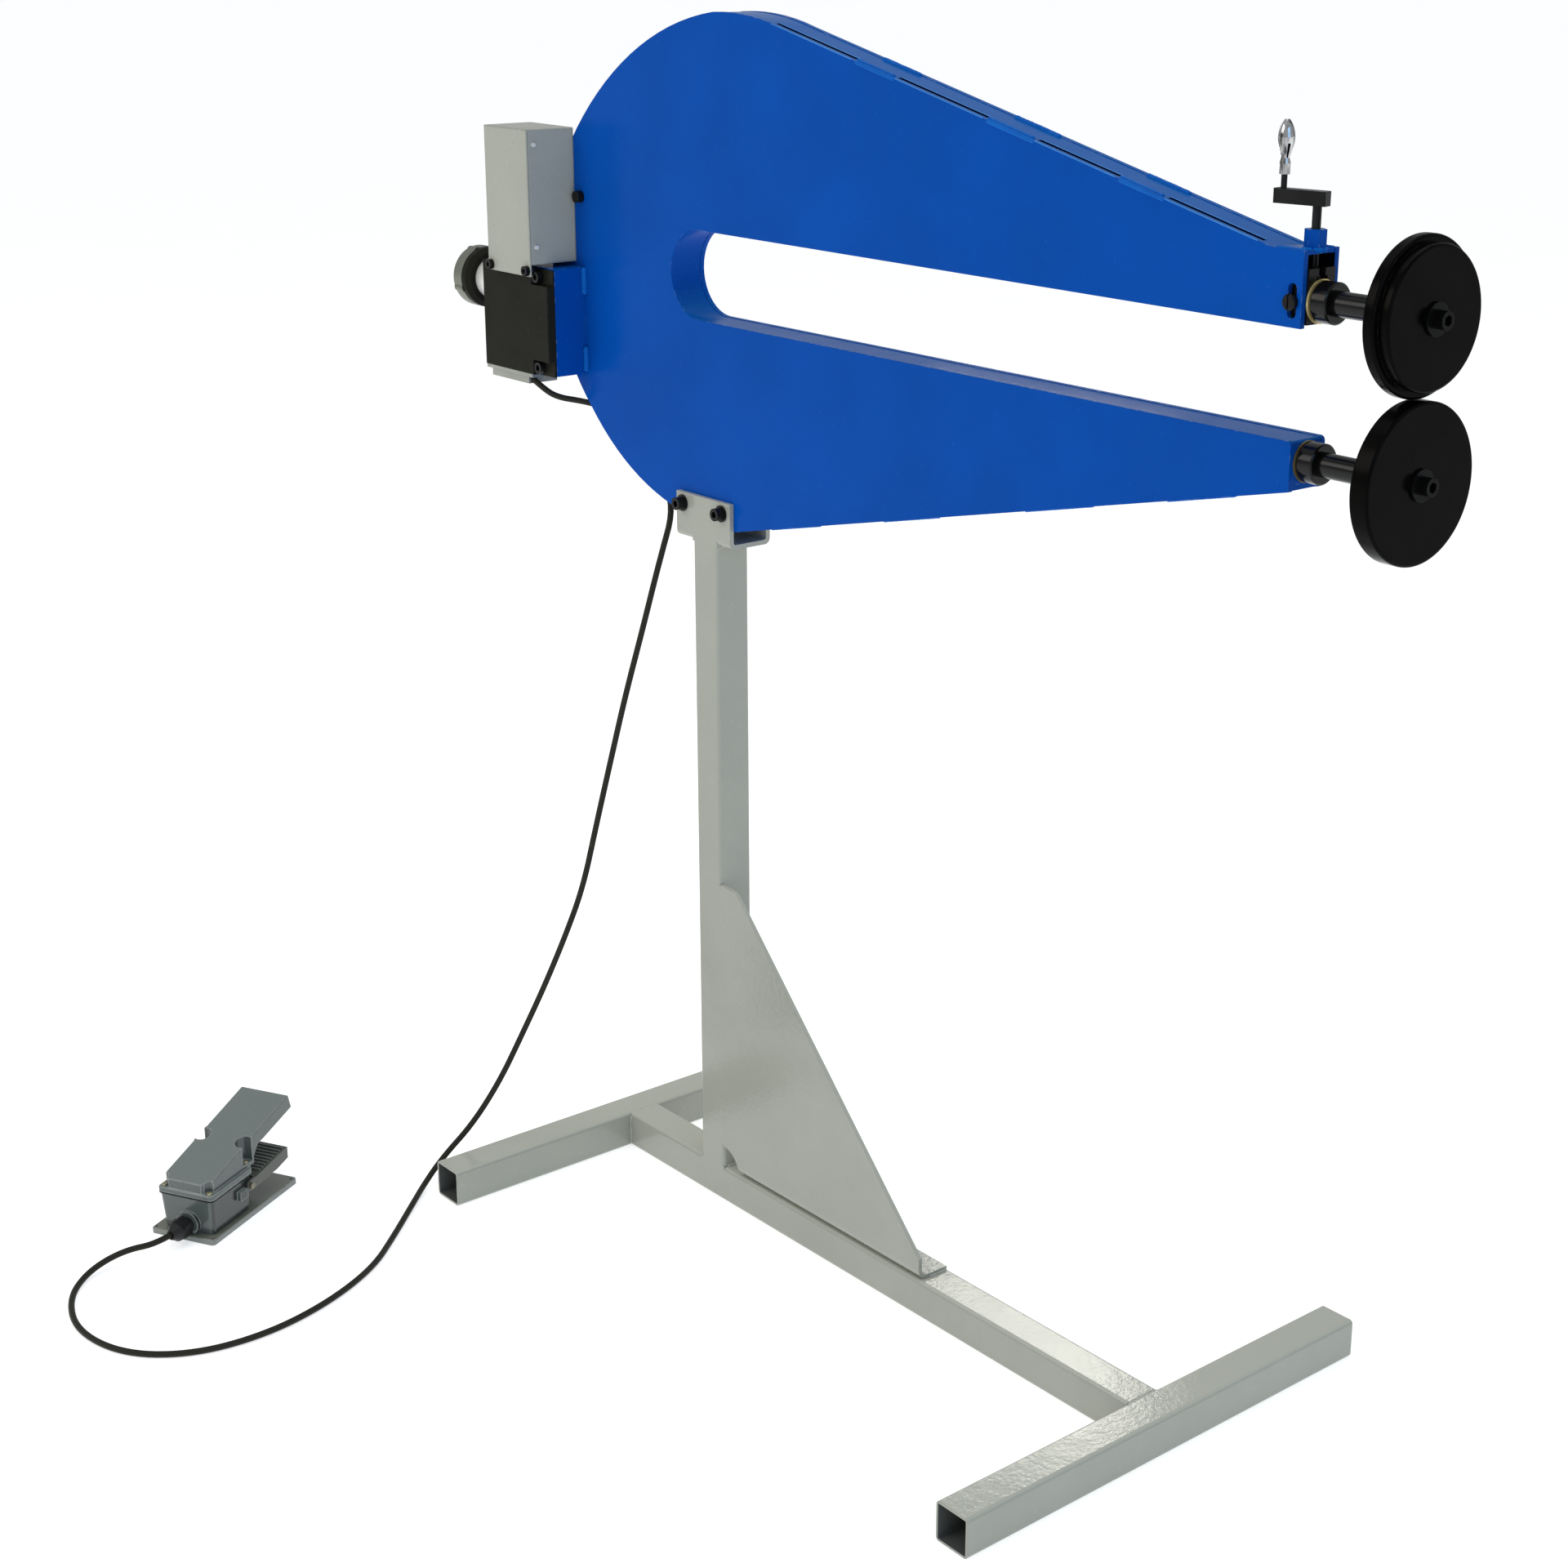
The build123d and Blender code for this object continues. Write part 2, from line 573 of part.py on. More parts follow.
arm -= rod_z(arm_z0 + 2, arm_z1 + 1, CRANK_R, 0, GRIP_STEM_R)
save("crank_arm", crank_turn * arm)
stem_top = arm_z1 + GRIP_STEM_H
grip_top = stem_top + GRIP_H
stem = rod_z(arm_z0 + 2, grip_top - 12, CRANK_R, 0, GRIP_STEM_R)
save("grip_stem", crank_turn * stem)
grip_bore = GRIP_STEM_R + RUN_CLEARANCE
waist_z = stem_top + GRIP_H * 0.3
bulb_z = stem_top + GRIP_H * 0.67
grip_edges = [
    Line((grip_bore, stem_top), (GRIP_R * 0.66, stem_top)),
    Line((GRIP_R * 0.66, stem_top), (GRIP_R * 0.66, stem_top + GRIP_H * 0.2)),
    Line((GRIP_R * 0.66, stem_top + GRIP_H * 0.2), (GRIP_R * 0.5, waist_z)),
    Line((GRIP_R * 0.5, waist_z), (GRIP_R * 0.96, bulb_z - GRIP_H * 0.1)),
    ThreePointArc(
        (GRIP_R * 0.96, bulb_z - GRIP_H * 0.1),
        (GRIP_R * 0.93, bulb_z + GRIP_H * 0.1),
        (GRIP_R * 0.3, grip_top),
    ),
    Line((GRIP_R * 0.3, grip_top), (0, grip_top)),
    Line((0, grip_top), (0, grip_top - 11.5)),
    Line((0, grip_top - 11.5), (grip_bore, grip_top - 11.5)),
    Line((grip_bore, grip_top - 11.5), (grip_bore, stem_top)),
]
grip = revolve(Plane.XZ * make_face(grip_edges), Axis.Z)
save("crank_grip", crank_turn * (Pos(CRANK_R, 0, 0) * grip))


# Drive: gear head on a bracket, motor, and a pair of plain mitre cones
def frustum(r_big, r_small, height, hub_r, hub):
    cone = Pos(0, 0, height / 2) * Cone(r_big, r_small, height)
    return cone + Pos(0, 0, -hub / 2) * Cylinder(hub_r, hub)


cone_small = CONE_R - CONE_FACE
low_cone = frustum(CONE_R, cone_small, CONE_FACE, CONE_R - 1, 12)
low_cone -= Pos(0, 0, -10) * Cylinder(OUTPUT_R, 18)
low_cone = Pos(cone_back, MID_Y, LOW_Z) * Rot(0, -90, 0) * low_cone
save("lower_cone_gear", low_cone)
out_y = MID_Y - CONE_R - CONE_GAP
out_cone = frustum(CONE_R, cone_small, CONE_FACE, OUTPUT_R + 2, 2)
out_cone -= Pos(0, 0, 1) * Cylinder(OUTPUT_R, 8)
out_cone = Pos(DRIVE_X, out_y, LOW_Z) * Rot(-90, 0, 0) * out_cone
save("output_cone_gear", out_cone)

bracket_y0 = FRAME_NEAR - BRACKET_DEPTH
bracket_x0 = BRACKET_FRONT - BRACKET_LENGTH
bracket_z0 = LOW_Z - BRACKET_DROP
bracket_z1 = bracket_z0 + BRACKET_H
bracket = block(bracket_x0, BRACKET_FRONT, bracket_y0, FRAME_NEAR, bracket_z0, bracket_z1)
wall = BRACKET_WALL
bracket -= block(
    bracket_x0 + wall,
    BRACKET_FRONT - wall,
    bracket_y0 - 1,
    FRAME_NEAR + 1,
    bracket_z0 + wall,
    bracket_z1 - wall,
)
save("drive_bracket", bracket)

gear_y0 = bracket_y0 - GEAR_FACE
gear_x0 = bracket_x0 + 1
gear_x1 = BRACKET_FRONT - 1
gear_z0 = bracket_z0 - 1
gear_z1 = gear_z0 + GEAR_H
gear = block(gear_x0, gear_x1, gear_y0, bracket_y0, gear_z0, gear_z1)
gear = chamfer(gear.faces().sort_by(Axis.Y)[0].edges(), 1.0)
in_x0 = bracket_x0 + wall + GEAR_MARGIN
in_x1 = BRACKET_FRONT - wall - GEAR_MARGIN
in_z1 = gear_z1 - GEAR_NOTCH_Z
gear_back = bracket_y0 + GEAR_REAR
gear += block(in_x0, in_x1, bracket_y0, gear_back, gear_z0 + GEAR_NOTCH_Z, in_z1)
screw_places = []
notch_x0 = gear_x1 - GEAR_NOTCH_X
for near_z, sz in ((gear_z0, 1), (gear_z1, -1)):
    far_z = near_z + sz * GEAR_NOTCH_Z
    notch_z0 = min(near_z, far_z) - (sz > 0)
    notch_z1 = max(near_z, far_z) + (sz < 0)
    gear -= block(notch_x0, gear_x1 + 1, gear_y0 - 1, bracket_y0 - 3, notch_z0, notch_z1)
    screw_places.append((notch_x0 + GEAR_SCREW_R + 1, near_z + sz * GEAR_NOTCH_Z / 2))
gear -= rod_y(gear_y0 + 8, gear_back + 1, DRIVE_X, LOW_Z, OUTPUT_R + RUN_CLEARANCE)
save("gear_head", gear)
gear_screws = []
for screw_x, screw_z in screw_places:
    screw = rod_y(gear_y0 + 0.5, bracket_y0 - 3, screw_x, screw_z, GEAR_SCREW_R)
    socket = Pos(screw_x, gear_y0 + 0.5, screw_z) * Rot(-90, 0, 0)
    screw -= socket * extrude(RegularPolygon(GEAR_SCREW_R * 0.58, 6), amount=4)
    gear_screws.append(screw)
save("gear_head_screws", group(gear_screws))
output_shaft = rod_y(gear_y0 + 10, out_y + 5, DRIVE_X, LOW_Z, OUTPUT_R)
save("output_shaft", output_shaft)

motor_y = bracket_y0 + MOTOR_IN
motor_z = LOW_Z + MOTOR_RISE
adapter_x0 = bracket_x0 - ADAPTER_LENGTH
can_x0 = adapter_x0 - CAN_LENGTH
bell_x0 = bracket_x0 - MOTOR_LENGTH
save("motor_adapter", rod_x(adapter_x0, bracket_x0, motor_y, motor_z, ADAPTER_R))
can = rod_x(can_x0, adapter_x0, motor_y, motor_z, MOTOR_R)
can = chamfer(can.edges().filter_by(GeomType.CIRCLE).sort_by(Axis.X)[-1], CAN_CHAMFER)
save("motor_can", can)
bell = rod_x(bell_x0, can_x0, motor_y, motor_z, MOTOR_R)
bell = chamfer(bell.edges().filter_by(GeomType.CIRCLE).sort_by(Axis.X)[0], BELL_CHAMFER)
for turn in (20, 110, 200, 290):
    lug_y = motor_y + (MOTOR_R - 4) * math.cos(math.radians(turn))
    lug_z = motor_z + (MOTOR_R - 4) * math.sin(math.radians(turn))
    bell += rod_x(bell_x0 + 7, can_x0, lug_y, lug_z, 6.0)
save("motor_end_bell", bell)
foot_x0 = gear_x0 + 6
foot_x1 = foot_x0 + FOOT_LENGTH
foot_y0 = gear_y0 + 6
foot_y1 = foot_y0 + FOOT_DEPTH
foot_z0 = gear_z0 - FOOT_H
shelf_z0 = gear_z0 - FOOT_SHELF
foot_plate = block(foot_x0, foot_x1, foot_y0, foot_y1, foot_z0, shelf_z0)
foot_plate = fillet(foot_plate.edges().filter_by(Axis.Y).sort_by(Axis.X)[0], 3.0)
foot_plate += block(gear_x0 + 1, foot_x1 + 16, gear_y0 + 1, foot_y1, shelf_z0, gear_z0)
cable_exit = Vector(foot_x1, foot_y0 + CABLE_R + 3, foot_z0 + CABLE_R + 1)
cable_drop = Vector(17, 6, -12.5)
cable_root = cable_exit - cable_drop * 0.35
cable_hole = Plane(origin=cable_root, z_dir=cable_drop) * Circle(CABLE_R + 0.2)
foot_plate -= extrude(cable_hole, amount=30)
save("gear_head_foot", foot_plate)

# Control box: folded tray, front panel and screws
box_x0 = BOX_FRONT - BOX_LENGTH
box_y0 = FRAME_NEAR - BOX_DEPTH
box_z0 = bracket_z1 + BOX_LIFT
box_z1 = box_z0 + BOX_H
tray = block(box_x0, BOX_FRONT, box_y0, FRAME_NEAR, box_z0, box_z1)
tray = fillet(tray.edges().filter_by(Axis.Y), 1.5)
tray -= block(
    box_x0 + BOX_WALL,
    BOX_FRONT - BOX_WALL,
    box_y0 - 1,
    FRAME_NEAR - BOX_WALL,
    box_z0 + BOX_WALL,
    box_z1 - BOX_WALL,
)
save("control_box", tray)
panel = block(box_x0, BOX_FRONT, box_y0 - BOX_WALL, box_y0, box_z0 - PANEL_DROP, box_z1)
panel = fillet(panel.edges().filter_by(Axis.Y), 1.5)
panel = fillet(panel.faces().sort_by(Axis.Y)[0].edges(), 1.0)
lid_in = BOX_WALL + 0.2
for flange_x in (box_x0 + lid_in, BOX_FRONT - lid_in - BOX_WALL):
    panel += block(flange_x, flange_x + BOX_WALL, box_y0, box_y0 + 16, box_z0 + 12, box_z1 - 12)
panel_bolts = []
bolt_face = box_y0 - BOX_WALL
panel_bolt_z = box_z0 - PANEL_DROP / 2
for bolt_x in (box_x0 + PANEL_BOLT_R + 0.5, BOX_FRONT - PANEL_BOLT_R - 0.5):
    panel -= rod_y(bolt_face - 1, box_y0 + 1, bolt_x, panel_bolt_z, 3.2)
    bolt = rod_y(bolt_face - 6, bolt_face, bolt_x, panel_bolt_z, PANEL_BOLT_R)
    bolt -= rod_y(bolt_face - 7, bolt_face - 3, bolt_x, panel_bolt_z, PANEL_BOLT_R / 2)
    bolt += rod_y(bolt_face - 3, box_y0 + 7, bolt_x, panel_bolt_z, 3.0)
    bolt_nut = extrude(RegularPolygon(PANEL_BOLT_R, 6), amount=5)
    bolt += Pos(bolt_x, box_y0, panel_bolt_z) * Rot(-90, 0, 0) * bolt_nut
    panel_bolts.append(bolt)
save("control_box_panel", panel)
save("control_box_bolts", group(panel_bolts))
side_screws = []
for side_x, out in ((BOX_FRONT, 1), (box_x0, -1)):
    for side_z in (box_z0 + 22, box_z1 - 19):
        head_x = side_x + out * 2.0
        head = rod_x(min(side_x, head_x), max(side_x, head_x), box_y0 + 8, side_z, 2.8)
        side_screws.append(head)
save("control_box_screws", group(side_screws))

# Foot pedal, built along its own axes and then turned into place
pedal_place = Pos(PEDAL_X, PEDAL_Y, 0) * Rot(0, 0, PEDAL_TURN)
plate_half = PEDAL_LENGTH / 2
base = extrude(RectangleRounded(PEDAL_LENGTH, PEDAL_WIDTH, 5), amount=PEDAL_BASE)
base = fillet(base.faces().sort_by(Axis.Z)[-1].edges(), 2.0)
for hole_x in (-plate_half + 8, plate_half - 6):
    for hole_y in (-PEDAL_WIDTH / 2 + 5, PEDAL_WIDTH / 2 - 5):
        base -= rod_z(-1, PEDAL_BASE + 1, hole_x, hole_y, 2.3)
save("pedal_base", pedal_place * base)

case_place = pedal_place * Pos(0, CASE_SHIFT, 0)
case_x1 = plate_half - 9
case_x0 = case_x1 - CASE_LENGTH
case_mid = (case_x0 + case_x1) / 2
case_half = CASE_WIDTH / 2
case_z1 = PEDAL_BASE + CASE_H


def case_face(inset, corner):
    return RectangleRounded(CASE_LENGTH - 2 * inset, CASE_WIDTH - 2 * inset, corner)


case_low = Pos(case_mid, 0, PEDAL_BASE) * case_face(CASE_DRAFT, 6)
case_high = Pos(case_mid, 0, case_z1) * case_face(0, 6)
case = loft([case_low, case_high], ruled=True)
case_in = case_face(CASE_WALL + CASE_DRAFT, 3)
case -= Pos(case_mid, 0, PEDAL_BASE + CASE_WALL) * extrude(case_in, amount=CASE_H)
gland_y = 2.0
gland_z = PEDAL_BASE + GLAND_RISE
boss_x0 = case_x1 - CASE_DRAFT - 1
boss = rod_x(boss_x0, case_x1 + BOSS_H, gland_y, gland_z, BOSS_R)
boss -= block(boss_x0 - 1, case_x1 + BOSS_H + 1, -CASE_WIDTH, CASE_WIDTH, -BOSS_R, PEDAL_BASE)
case += boss
case -= rod_x(case_x1 - CASE_WALL - CASE_DRAFT - 2, case_x1 + BOSS_H + 1, gland_y, gland_z, CABLE_R + 1)
pivot_x = case_x0 + 9
pivot_z = PEDAL_BASE + PIVOT_RISE
pin_r = 3.0
pin_in = case_half - CASE_DRAFT
lug_x0 = pivot_x + EYE_R + 2
for side in (-1, 1):
    y0 = side * pin_in
    y1 = side * (case_half + 5)
    case += block(lug_x0, lug_x0 + 16, min(y0, y1), max(y0, y1), pivot_z - 12, pivot_z + 1)
    case -= rod_y(min(y0, y1), max(y0, y1), pivot_x, pivot_z, pin_r)
save("pedal_case", case_place * case)
gasket = Pos(case_mid, 0, case_z1) * extrude(case_face(-2, 7) - case_in, amount=GASKET)
save("pedal_gasket", case_place * gasket)

hood_z0 = case_z1 + GASKET
hood_x0 = case_x0 - HOOD_REACH + HOOD_RAKE
hood_half = case_half - HOOD_INSET
guard_x = case_x0 - 36
rim_z1 = hood_z0 + FLANGE


def hood_top(x):
    return hood_z0 + HOOD_LOW + HOOD_SLOPE * (case_x1 - x)


def hood_prism(points, half):
    return prism(polygon(points), -half, half)


hood = hood_prism([
    (case_x1, hood_z0),
    (case_x1, hood_top(case_x1)),
    (hood_x0, hood_top(hood_x0)),
    (hood_x0 - HOOD_RAKE, hood_top(hood_x0) - HOOD_LIP),
    (guard_x, hood_top(guard_x) - HOOD_LIP),
    (guard_x + 12, hood_top(guard_x) - HOOD_LIP - 1.5),
    (case_x0 - 5.5, rim_z1 + 1),
    (case_x0, hood_z0),
], hood_half)
tall = hood_top(hood_x0) + 10
hood = chamfer(hood.edges().filter_by(Axis.Z).sort_by(Axis.X)[-2:], HOOD_CORNER)
hood_lid = max(hood.faces(), key=lambda face: face.normal_at().Z)
hood = fillet(hood_lid.edges(), HOOD_SOFT)
pocket_x = case_x0 + 1
pocket_y = hood_half - POCKET_IN
pocket_z = rim_z1 + POCKET_RISE
ear_r = POCKET_R + POCKET_WALL
cavity_x0 = pocket_x + ear_r + 1
cavity_x1 = case_x1 - HOOD_CORNER - 2
cavity_half = hood_half - HOOD_WALL
cavity_mid = (cavity_x0 + cavity_x1) / 2
hood -= hood_prism([
    (cavity_x1, hood_z0 - 1),
    (cavity_x1, hood_top(cavity_x1) - HOOD_WALL),
    (cavity_x0, hood_top(cavity_x0) - HOOD_WALL),
    (cavity_x0, hood_z0 - 1),
], cavity_half)
open_x = hood_x0 - 2 * HOOD_RAKE
hood -= hood_prism([
    (case_x0, hood_z0 - 1),
    (case_x0, hood_top(case_x0) - HOOD_WALL),
    (open_x, hood_top(open_x) - HOOD_WALL),
    (open_x, hood_z0 - 1),
], cavity_half)
above = hood_prism([
    (case_x1, hood_top(case_x1)),
    (hood_x0, hood_top(hood_x0)),
    (hood_x0, tall + 1),
    (case_x1, tall + 1),
], CASE_WIDTH)
screw_spots = []
for side in (-1, 1):
    spot_y = side * pocket_y
    ear = rod_z(rim_z1, tall, pocket_x, spot_y, ear_r) - above
    y0 = min(side * hood_half, side * CASE_WIDTH)
    y1 = max(side * hood_half, side * CASE_WIDTH)
    ear -= block(pocket_x - CASE_LENGTH, pocket_x + CASE_LENGTH, y0, y1, hood_z0, tall + 1)
    hood += ear
    hood -= rod_z(pocket_z, tall + 1, pocket_x, spot_y, POCKET_R)
    corner_x = case_x1 - 4.5
    corner_y = side * (hood_half - 2)
    hood -= rod_z(rim_z1, tall + 1, corner_x, corner_y, CORNER_POCKET_R)
    screw_spots.append((corner_x, corner_y, rim_z1))
    screw_spots.append((pocket_x, spot_y, pocket_z))
rim = Pos(case_mid, 0, hood_z0) * extrude(case_face(-2, 7), amount=FLANGE)
rim = fillet(rim.faces().sort_by(Axis.Z)[-1].edges(), HOOD_SOFT)
rim_hole = Rectangle(cavity_x1 - cavity_x0, 2 * cavity_half)
rim -= Pos(cavity_mid, 0, hood_z0 - 1) * extrude(rim_hole, amount=FLANGE + 2)
hood += rim
save("pedal_hood", case_place * hood)
hood_screws = []
for spot_x, spot_y, spot_z in screw_spots:
    head = rod_z(spot_z, spot_z + 2.6, spot_x, spot_y, 3.4)
    slit = block(spot_x - 4, spot_x + 4, spot_y - 0.5, spot_y + 0.5, spot_z + 1.4, tall)
    hood_screws.append(head - slit)
save("pedal_hood_screws", case_place * group(hood_screws))

# Treadle: ribbed plate between the guard and the base, hinged on the case
arm_in = case_half + 0.5
arm_out = arm_in + 4.0
tread_x0 = pivot_x - TREADLE_REACH
tread_x1 = case_x0 - 3.0
tread_z = pivot_z - 4
tread_end = tread_z + TREADLE_RISE
tread = prism(polygon([
    (tread_x1, tread_z),
    (tread_x1, tread_z + TREADLE_T),
    (tread_x0, tread_end + TREADLE_T),
    (tread_x0, tread_end),
]), -arm_out, arm_out)
tread -= prism(polygon([
    (tread_x1 - 6, tread_z - 2),
    (tread_x1 - 6, tread_z + TREADLE_T - 4.5),
    (tread_x0 + 4, tread_end + TREADLE_T - 4),
    (tread_x0 + 4, tread_end - 2),
]), -arm_out + 4, arm_out - 4)
rise_rate = TREADLE_RISE / (tread_x1 - tread_x0)
for rib in range(9):
    rib_x = tread_x0 + 5 + rib * 6.6
    rib_z = tread_z + TREADLE_T + (tread_x1 - rib_x) * rise_rate
    tread += block(rib_x, rib_x + 3, -arm_out + 4, arm_out - 4, rib_z - 1.5, rib_z + 1.6)
for side in (-1, 1):
    y0 = min(side * arm_in, side * arm_out)
    y1 = max(side * arm_in, side * arm_out)
    cheek = prism(polygon([
        (tread_x0, tread_end + TREADLE_T),
        (tread_x0, tread_end - SKIRT_DROP),
        (tread_x0 + SKIRT_RUN, tread_z),
        (pivot_x, pivot_z - EYE_R),
        (pivot_x, pivot_z + EYE_R),
        (tread_x1, tread_z + TREADLE_T),
    ]), y0, y1)
    cheek += rod_y(y0, y1, pivot_x, pivot_z, EYE_R)
    cheek -= rod_y(y0 - 1, y1 + 1, pivot_x, pivot_z, pin_r + RUN_CLEARANCE)
    tread += cheek
save("pedal_treadle", case_place * tread)
pins = []
for side in (-1, 1):
    y0 = side * pin_in
    y1 = side * (arm_out + 0.6)
    y2 = side * (arm_out + 3.0)
    pin = rod_y(min(y0, y1), max(y0, y1), pivot_x, pivot_z, pin_r)
    pin += rod_y(min(y1, y2), max(y1, y2), pivot_x, pivot_z, 4.5)
    pins.append(pin)
save("pedal_pivot_screws", case_place * group(pins))

gland_x0 = case_x1 + BOSS_H
neck = plate_half - gland_x0 + 1.5
gland_hex = extrude(Circle(GLAND_R - 5), amount=neck)
gland_hex += Pos(0, 0, neck) * extrude(RegularPolygon(GLAND_R, 6), amount=14)
gland_hex += Pos(0, 0, neck + 14) * extrude(Circle(GLAND_R - 2.5), amount=4)
cone_z = neck + 18
cone_l = GLAND_LENGTH - cone_z
gland_hex += Pos(0, 0, cone_z + cone_l / 2) * Cone(GLAND_R - 3.5, CABLE_R + 2.5, cone_l)
gland_hex -= Pos(0, 0, GLAND_LENGTH / 2) * Cylinder(CABLE_R + 0.1, GLAND_LENGTH + 2)
gland = Pos(gland_x0, gland_y, gland_z) * Rot(0, 90, 0) * gland_hex
save("pedal_gland", case_place * gland)

# Cable: straight runs and tangent arcs from the gear head to the pedal gland
gland_start = (case_place * Pos(gland_x0 + 4, gland_y, gland_z)).position
gland_ahead = (case_place * Pos(gland_x0 + GLAND_LENGTH + 20, gland_y, gland_z)).position
floor_z = CABLE_R + 0.2
cable_points = [
    tuple(cable_root),
    tuple(cable_exit + cable_drop),
    tuple(cable_exit + Vector(31.5, 18, -21.5)),
    tuple(cable_exit + Vector(45, 40, -26)),
    tuple(cable_exit + Vector(61, 59, -31.5)),
    (-232.0, MID_Y - 1.5, LOW_Z - 129.5),
    (-172.0, MID_Y, LOW_Z - 177),
    (-112.0, MID_Y - 1.5, LOW_Z - 228),
    (-114.0, -14.0, 860.0),
    (-121.0, -32.0, 775.0),
    (-131.0, -53.0, 690.0),
    (-143.0, -71.0, 600.0),
    (-155.0, -90.0, 505.0),
    (-168.0, -110.0, 420.0),
    (-183.0, -131.0, 350.0),
    (-199.0, -158.0, 276.0),
    (-216.0, -185.0, 208.0),
    (-232.0, -212.0, 143.0),
    (-255.0, -244.0, 79.0),
    (-283.0, -277.0, 28.0),
    (-266.0, -318.0, floor_z + 3),
    (-230.0, -359.0, floor_z),
    (-172.0, -421.0, floor_z),
    (-115.0, -486.0, floor_z),
    (-74.0, -575.0, floor_z),
    (-56.0, -668.0, floor_z),
    (-70.0, -757.0, floor_z),
    (-124.0, -822.0, floor_z),
    (-210.0, -843.0, floor_z),
    (-290.0, -818.0, floor_z),
    (-336.0, -772.0, floor_z + 2),
    (-338.0, -722.0, floor_z + 14),
    (gland_ahead.X, gland_ahead.Y, gland_ahead.Z),
    (gland_start.X, gland_start.Y, gland_start.Z),
]
corners = [Vector(*p) for p in cable_points]
radii = []
for before, corner, after in zip(corners, corners[1:], corners[2:]):
    first = corner - before
    second = after - corner
    turn = math.radians(first.get_angle(second))
    radius = 0.45 * min(first.length, second.length) / math.tan(turn / 2)
    radii.append(radius)
    print("cable corner", round(math.degrees(turn), 1), "deg radius", round(radius, 1))
cable_path = FilletPolyline(*cable_points, radius=radii)
cable_start = Plane(origin=cable_path @ 0, z_dir=cable_path % 0)
cable = sweep(cable_start * Circle(CABLE_R), path=cable_path)
print("cable length", round(cable_path.length, 1))
print("cable volume ratio", round(cable.volume / (math.pi * CABLE_R ** 2 * cable_path.length), 4))
save("pedal_cable", cable)
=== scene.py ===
"""Looks of the rotary bead roller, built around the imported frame, in metres."""
import json
import math
import random

import bmesh
import bpy
from mathutils import Matrix, Vector


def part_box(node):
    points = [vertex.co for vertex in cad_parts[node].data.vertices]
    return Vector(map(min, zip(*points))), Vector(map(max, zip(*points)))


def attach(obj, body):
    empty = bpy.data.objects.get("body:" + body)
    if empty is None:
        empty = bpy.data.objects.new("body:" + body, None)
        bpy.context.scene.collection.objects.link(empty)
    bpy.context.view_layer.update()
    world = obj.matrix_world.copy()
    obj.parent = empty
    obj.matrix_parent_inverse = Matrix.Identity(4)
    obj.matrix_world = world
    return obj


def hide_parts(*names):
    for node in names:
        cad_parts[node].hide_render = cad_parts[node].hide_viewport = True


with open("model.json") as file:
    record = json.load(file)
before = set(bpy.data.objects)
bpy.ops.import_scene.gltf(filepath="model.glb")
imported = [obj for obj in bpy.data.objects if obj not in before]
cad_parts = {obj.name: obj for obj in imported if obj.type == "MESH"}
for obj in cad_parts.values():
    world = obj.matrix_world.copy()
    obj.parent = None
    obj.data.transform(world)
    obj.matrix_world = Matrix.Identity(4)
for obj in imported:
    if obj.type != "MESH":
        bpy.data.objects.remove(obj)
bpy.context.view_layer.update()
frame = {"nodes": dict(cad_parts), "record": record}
nodes = frame["nodes"]
rng = random.Random(11)
MM = 0.001

# Camera at the photograph's viewpoint: metres, radians, and pixels of a square frame
IMAGE = 1920.0
CAM_POS = (2.55365, -1.93891, 1.68625)
CAM_YAW = 0.85201
CAM_PITCH = 0.31978
CAM_ROLL = 0.01061
CAM_FOCAL = 3183.476
CAM_CENTRE = (1095.36, 926.30)
CAM_REACH = 200.0
SENSOR = 36.0


def add_camera():
    data = bpy.data.cameras.new("photo_camera")
    cam = bpy.data.objects.new("photo_camera", data)
    bpy.context.scene.collection.objects.link(cam)
    flat = math.cos(CAM_PITCH)
    look = Vector((-math.sin(CAM_YAW) * flat, math.cos(CAM_YAW) * flat, -math.sin(CAM_PITCH)))
    level = Vector((math.cos(CAM_YAW), math.sin(CAM_YAW), 0.0))
    up = level.cross(look)
    right = math.cos(CAM_ROLL) * level + math.sin(CAM_ROLL) * up
    top = -math.sin(CAM_ROLL) * level + math.cos(CAM_ROLL) * up
    turn = Matrix((right, top, -look)).transposed().to_4x4()
    cam.matrix_world = Matrix.Translation(CAM_POS) @ turn
    data.sensor_width = SENSOR
    data.lens = CAM_FOCAL / IMAGE * SENSOR
    data.shift_x = (IMAGE / 2 - CAM_CENTRE[0]) / IMAGE
    data.shift_y = (CAM_CENTRE[1] - IMAGE / 2) / IMAGE
    data.clip_end = CAM_REACH
    bpy.context.scene.camera = cam


# Patterns of noise, as scale in cycles a metre, octaves of detail and, for the grain, roughness
CLOUDS = (7.0, 4.0)
SPECKS = (160.0, 2.0)
# Noise for chipped paint and for painted edge highlights
CHIPS_AND_GLINTS = (95.0, 4.0)
SMEARS = (22.0, 5.0)
PEEL = (170.0, 3.0)
WAVES = (38.0, 2.0)
STAINS = (30.0, 4.0)
SCUFFS_AND_GLINTS = (120.0, 4.0)
FILM = (45.0, 5.0)
GRAIN = (300.0, 2.0, 0.6)
FLOOR_CLOUDS = (3.0, 3.0)

# Spans of noise over which a pattern fades in
MIDDLE = (0.35, 0.65)
BROAD = (0.3, 0.7)
PEAKS = (0.66, 0.74)
SCUFFED_AND_GLINTING = (0.45, 0.6)

# Directions along which a finish paints light and shade, and how squarely a face has to look along one
UP = (0.0, 0.0, 1.0)
PEDAL_SIDE = (0.885, 0.466, 0.0)
FACING = (0.35, 0.8)

